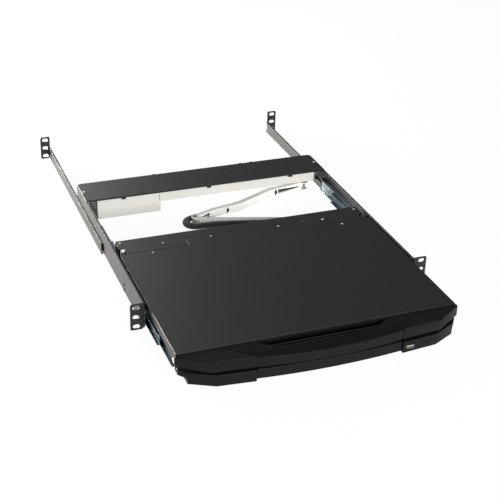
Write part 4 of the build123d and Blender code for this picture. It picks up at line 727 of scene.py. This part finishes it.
@dataclass
class RearHousing:
    """Cover, housing and ports at the back."""

    cover_top_z: float = 20.9
    cover_screw_x: float = 216.6
    cover_screw_y: float = 387.0
    jack_screws: tuple[Point, ...] = ((27.5, 422.2, 9.6), (52.5, 422.2, 9.6))
    panel_screws: tuple[Point, ...] = ((196.0, 421.5, 9.6), (67.5, 421.5, 9.6))
    trim: tuple[tuple[str, Point, Point], ...] = (
        # The two side sheets are painted shade: thin black sheets over the housing's cream side walls, which
        # lie in shadow inside the rails.
        ("housing_side_shade_left", (0.3, 63.0, 32.6), (-201.25, 388.0, -2.6)),
        ("housing_side_shade_right", (0.3, 63.0, 14.4), (203.25, 388.0, 6.6)),
        ("housing_fold_slit", (0.7, 0.2, 13.0), (-90.2, 355.95, 7.2)),
    )

    def build(self, screws: Screws) -> None:
        """Make and dress the pieces."""
        form("rear_cover", "coated_black", edge=0.0004)
        form("rear_panel", "coated_black", edge=0.0002)
        # The housing takes the darker cream copy in place of its slot's cream: painted shade.
        form("rear_housing", "cream_coated", edge=0.0004, shade_finish="cream_shaded_housing")
        for name, size, centre in self.trim:
            dress(Bench.cube(name, metres(size), metres(centre)), "rubber_black", "frame")
        form("power_inlet", "inlet_black", edge=0.0003)
        form("inlet_pins", "pin_steel", edge=0.0002)
        form("switch_body", "inlet_black", edge=0.0003)
        form("switch_rocker", "inlet_black", edge=0.0003)
        form("port_shells", "usb_steel", edge=0.0001)
        form("port_inserts", "insert_blue", edge=0.0002)
        form("rear_cable_grommet", "rubber_black", edge=0.0003)
        spots = [(side * self.cover_screw_x, self.cover_screw_y, self.cover_top_z) for side in (-1, 1)]
        screws.set_in("rear_cover_screws", diameter=5.6, height=0.7, spots=spots, facing=Axis.UP,
                      body="frame", finish="screw_steel")
        screws.set_in("video_jack_screws", diameter=4.6, height=2.4, spots=self.jack_screws,
                      facing=Axis.BACK, body="frame", finish="screw_steel")
        screws.set_in("rear_panel_screws", diameter=5.2, height=1.4, spots=self.panel_screws,
                      facing=Axis.BACK, body="frame")


@dataclass(frozen=True)
class Sleeve:
    """A stretch of the cable's braided sleeve, which spreads where it bends freely.

    Lengths are in millimetres. The points are the control points of a smooth line; a point without a height
    lies at the arm's middle height. The half widths at the two ends may differ, and spread is the half width
    in the middle. A sleeve with bends_to stretches from its own body to that one.
    """

    node: str
    body: str
    points: tuple[tuple[float, ...], ...]
    ends: tuple[float, float] = (4.5, 4.5)
    spread: float = 4.5
    bends_to: Union[str, None] = None
    half_height: float = 4.5
    sides: int = 20

    def line(self) -> list[Vector]:
        """Points along the smooth line."""
        curve = bpy.data.curves.new(f"{self.node}_line", "CURVE")
        curve.dimensions = "3D"
        curve.resolution_u = 24
        spline = curve.splines.new("NURBS")
        spline.points.add(len(self.points) - 1)
        for control, point in zip(spline.points, self.points):
            control.co = (*metres((*point, ARM_MIDDLE_Z)[:3]), 1.0)
        spline.order_u = 3
        spline.use_endpoint_u = True
        holder = bpy.data.objects.new(curve.name, curve)
        bpy.context.scene.collection.objects.link(holder)
        bpy.context.view_layer.update()
        mesh = bpy.data.meshes.new_from_object(holder)
        found = [vertex.co.copy() for vertex in mesh.vertices]
        bpy.data.objects.remove(holder)
        bpy.data.meshes.remove(mesh)
        return found

    def half_width(self, share: float) -> float:
        """Half the sleeve's width at a share of its length."""
        first, last = self.ends
        middle = max(0.0, self.spread - (first + last) / 2) * math.sin(math.pi * share)
        return first + (last - first) * share + middle

    def build(self) -> None:
        """Make the sleeve's mesh with its map, along in metres and around in turns."""
        centres = self.line()
        mesh = bmesh.new()
        layer = mesh.loops.layers.uv.new("sleeve")
        rings, along = [], [0.0]
        for before, after in zip(centres, centres[1:]):
            along.append(along[-1] + (after - before).length)
        aside = None
        for number, centre in enumerate(centres):
            ahead = centres[min(number + 1, len(centres) - 1)] - centres[max(number - 1, 0)]
            ahead.normalize()
            across = ahead.cross(Vector((0, 0, 1))) if aside is None else aside
            aside = (across - ahead * across.dot(ahead)).normalized()
            above = aside.cross(ahead)
            wide = self.half_width(along[number] / along[-1]) * MM
            angles = [math.tau * side / self.sides for side in range(self.sides)]
            rings.append([mesh.verts.new(centre + aside * (wide * math.cos(angle))
                                         + above * (self.half_height * MM * math.sin(angle)))
                          for angle in angles])
        for number, (ring, following) in enumerate(zip(rings, rings[1:])):
            for side in range(self.sides):
                other = (side + 1) % self.sides
                face = mesh.faces.new((ring[side], following[side], following[other], ring[other]))
                face.smooth = True
                places = ((number, side), (number + 1, side), (number + 1, side + 1), (number, side + 1))
                for loop, (row, turn) in zip(face.loops, places):
                    loop[layer].uv = (along[row], turn / self.sides)
        mesh.faces.new(rings[0])
        mesh.faces.new(rings[-1][::-1])
        bmesh.ops.recalc_face_normals(mesh, faces=mesh.faces)
        data = bpy.data.meshes.new(f"{self.node}_sleeve")
        mesh.to_mesh(data)
        mesh.free()
        piece = bpy.data.objects.new(f"{self.node}_sleeve", data)
        bpy.context.scene.collection.objects.link(piece)
        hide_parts(self.node)
        piece.data.materials.append(FINISHES.get("cable_black"))
        if self.bends_to:
            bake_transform(piece)
        else:
            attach(piece, self.body)
        log.info("%s: %d faces", piece.name, len(piece.data.polygons))


@dataclass
class CableArm:
    """Folding cable arm with its pins, ties and the braided cable."""

    elbow: tuple[float, float] = (-47.87, 287.0)
    link_turn: float = 17.335
    strap_places: tuple[tuple[float, float], ...] = ((183.3, 6.4), (68.6, -1.4))
    strap_size: tuple[float, float, float] = (2.2, 1.0, 11.6)

    def sleeves(self) -> tuple[Sleeve, ...]:
        """The cable's stretches, from the housing to the drawer."""
        return (
            Sleeve("cable_rear_tail", "rear_arm",
                   ((167.4, 361.9), (181.2, 364.6), (181.2, 385.6), (181.2, 385.6, 3.0)),
                   bends_to="frame"),
            Sleeve("cable_rear_run", "rear_arm",
                   ((167.4, 361.9), (136.0, 355.7), (114.1, 351.8), (89.6, 339.8), (42.0, 319.6),
                    (-9.2, 308.6), (-50.6, 296.0)),
                   ends=(4.5, 5.2)),
            Sleeve("cable_elbow_loop", "rear_arm",
                   ((-50.6, 296.0), (-65.5, 291.5), (-65.5, 262.0), (-41.5, 262.0)),
                   ends=(5.2, 6.4), spread=7.0, bends_to="front_arm"),
            Sleeve("cable_front_run", "front_arm",
                   ((-41.5, 262.0), (4.9, 260.0), (113.6, 220.6)),
                   ends=(6.4, 4.5)),
            Sleeve("cable_front_tail", "drawer", ((113.6, 220.6), (127.0, 216.4), (127.0, 194.5))),
        )

    def straps(self) -> None:
        """Flat straps of the ties across the front of the rear link."""
        strap = Bench.cube("strap", metres(self.strap_size))
        Bench.soften(strap, edge=0.0003)
        lie = (Matrix.Translation(Vector((*self.elbow, ARM_MIDDLE_Z)) * MM)
               @ Matrix.Rotation(math.radians(self.link_turn), 4, "Z"))
        places = [lie @ Matrix.Translation(Vector((along, aside, 0)) * MM)
                  for along, aside in self.strap_places]
        dress(Bench.copies("rear_link_straps", strap, places), "tie_black", "rear_arm")

    def build(self) -> None:
        """Make and dress the pieces."""
        for node in ("rear_link", "front_link"):
            form(node, "cream_coated", edge=0.00025)
        for node in ("arm_rear_pin", "elbow_pin", "arm_front_pin"):
            form(node, "pin_steel", edge=0.0002)
        for node in ("rear_cable_clips", "front_cable_clips"):
            form(node, "tie_black", edge=0.0002)
        self.straps()
        for sleeve in self.sleeves():
            sleeve.build()


@dataclass(frozen=True)
class Lamp:
    """A soft lamp: its middle, the point that it faces and its size in metres, and its power in watts."""

    name: str
    place: Point
    aim: Point
    size: tuple[float, float]
    power: float
    colour: Colour = (1.0, 1.0, 1.0)

    def hang(self) -> None:
        """Add the lamp to the scene."""
        data = bpy.data.lights.new(self.name, "AREA")
        data.shape, data.size, data.size_y = "RECTANGLE", *self.size
        data.energy, data.color = self.power, self.colour
        lamp = bpy.data.objects.new(self.name, data)
        bpy.context.scene.collection.objects.link(lamp)
        lamp.location = self.place
        lamp.rotation_euler = (Vector(self.aim) - Vector(self.place)).to_track_quat("-Z", "Y").to_euler()


@dataclass
class Studio:
    """Pale floor, soft lights and the camera at the photograph's angle.

    The camera's turn, rise and roll are in radians. Its place along its own axes and its lens are in
    millimetres. The floor is in metres.
    """

    turn: float = -0.374041
    rise: float = 0.497277
    roll: float = 0.0310543
    across: float = -51.527
    up: float = 63.076
    away: float = 1737.96
    lens: float = 82.36
    sensor: float = 36.0
    floor_size: float = 16.0
    floor_gap: float = 0.0006
    floor_share: float = 0.95
    world_level: float = 0.20
    mirror_level: float = 0.22
    lamps: tuple[Lamp, ...] = (
        Lamp("front_softbox", (0.1, -2.2, 0.75), (0, 0.1, 0), (1.8, 0.9), 90.0),
        Lamp("left_strip", (-0.95, 1.5, 0.10), (-0.2, 0.1, 0), (1.4, 0.3), 185.0, (1.0, 0.97, 0.91)),
        Lamp("back_softbox", (-0.3, 1.6, 0.8), (0, 0.1, 0), (0.8, 0.5), 6.0),
    )

    def camera(self) -> None:
        """Place the camera."""
        back = Vector((math.sin(self.turn) * math.cos(self.rise), -math.cos(self.turn) * math.cos(self.rise),
                       math.sin(self.rise)))
        level = Vector((math.cos(self.turn), math.sin(self.turn), 0))
        upright = back.cross(level)
        right = math.cos(self.roll) * level + math.sin(self.roll) * upright
        above = -math.sin(self.roll) * level + math.cos(self.roll) * upright
        place = (right * self.across + above * self.up + back * self.away) * MM
        data = bpy.data.cameras.new("photo_camera")
        data.lens, data.sensor_width = self.lens, self.sensor
        data.clip_start, data.clip_end = 0.05, 60.0
        camera = bpy.data.objects.new("photo_camera", data)
        bpy.context.scene.collection.objects.link(camera)
        turned = Matrix((right, above, back)).transposed().to_4x4()
        camera.matrix_world = Matrix.Translation(place) @ turned
        bpy.context.scene.camera = camera

    def seen(self, tree: bpy.types.NodeTree, others: Sequence[str] = ()) -> bpy.types.NodeSocket:
        """1 for rays from the camera and of other named kinds, and 0 for the light on the object."""
        path = tree.nodes.new("ShaderNodeLightPath")
        found = path.outputs["Is Camera Ray"]
        for name in others:
            larger = tree.nodes.new("ShaderNodeMath")
            larger.operation = "MAXIMUM"
            tree.links.new(found, larger.inputs[0])
            tree.links.new(path.outputs[name], larger.inputs[1])
            found = larger.outputs[0]
        return found

    def world(self) -> None:
        """White where the camera sees it, a soft level where it lights, and another where it is mirrored."""
        world = bpy.data.worlds.new("studio_world")
        bpy.context.scene.world = world
        world.use_nodes = True
        tree = world.node_tree
        tree.nodes.clear()
        output = tree.nodes.new("ShaderNodeOutputWorld")
        mix = tree.nodes.new("ShaderNodeMixShader")
        level = tree.nodes.new("ShaderNodeMapRange")
        level.inputs["To Min"].default_value = self.world_level
        level.inputs["To Max"].default_value = self.mirror_level
        path = tree.nodes.new("ShaderNodeLightPath")
        tree.links.new(path.outputs["Is Glossy Ray"], level.inputs["Value"])
        soft, white = (tree.nodes.new("ShaderNodeBackground") for _ in range(2))
        for back in (soft, white):
            back.inputs["Color"].default_value = (1, 1, 1, 1)
        tree.links.new(level.outputs[0], soft.inputs["Strength"])
        tree.links.new(self.seen(tree), mix.inputs[0])
        tree.links.new(soft.outputs[0], mix.inputs[1])
        tree.links.new(white.outputs[0], mix.inputs[2])
        tree.links.new(mix.outputs[0], output.inputs["Surface"])

    def floor(self) -> None:
        """A pale floor that keeps a faint shadow."""
        Bench.clear()
        low = cad_box[0].z - self.floor_gap
        bpy.ops.mesh.primitive_plane_add(size=self.floor_size, location=(0, 0, low))
        floor = bpy.context.object
        floor.name = "studio_floor"
        graph = Graph("studio_floor")
        graph.set(Base_Color=(0.92, 0.92, 0.92), Roughness=0.9, Specular_IOR_Level=0.0)
        tree = graph.tree
        glow = tree.nodes.new("ShaderNodeEmission")
        mix = tree.nodes.new("ShaderNodeMixShader")
        share = tree.nodes.new("ShaderNodeMath")
        share.operation = "MULTIPLY"
        share.inputs[1].default_value = self.floor_share
        tree.links.new(self.seen(tree, ("Is Glossy Ray", "Is Transmission Ray")), share.inputs[0])
        tree.links.new(share.outputs[0], mix.inputs[0])
        tree.links.new(graph.shader.outputs[0], mix.inputs[1])
        tree.links.new(glow.outputs[0], mix.inputs[2])
        tree.links.new(mix.outputs[0], graph.output.inputs["Surface"])
        floor.data.materials.append(graph.material)

    def build(self) -> None:
        """Set up the studio."""
        bpy.context.scene.view_settings.view_transform = "Standard"
        self.camera()
        self.world()
        self.floor()
        for lamp in self.lamps:
            lamp.hang()
        log.info("studio: camera, floor and lamps")


def main() -> None:
    """Build the looks in order."""
    logging.basicConfig(level=logging.INFO, format="%(name)s %(message)s")
    screws = Screws()
    Studio().build()
    Rails().build(screws)
    DrawerBase().build(screws)
    Lid().build(screws)
    RearHousing().build(screws)
    CableArm().build()
    Bench.clear()


if __name__ == "__main__":
    main()
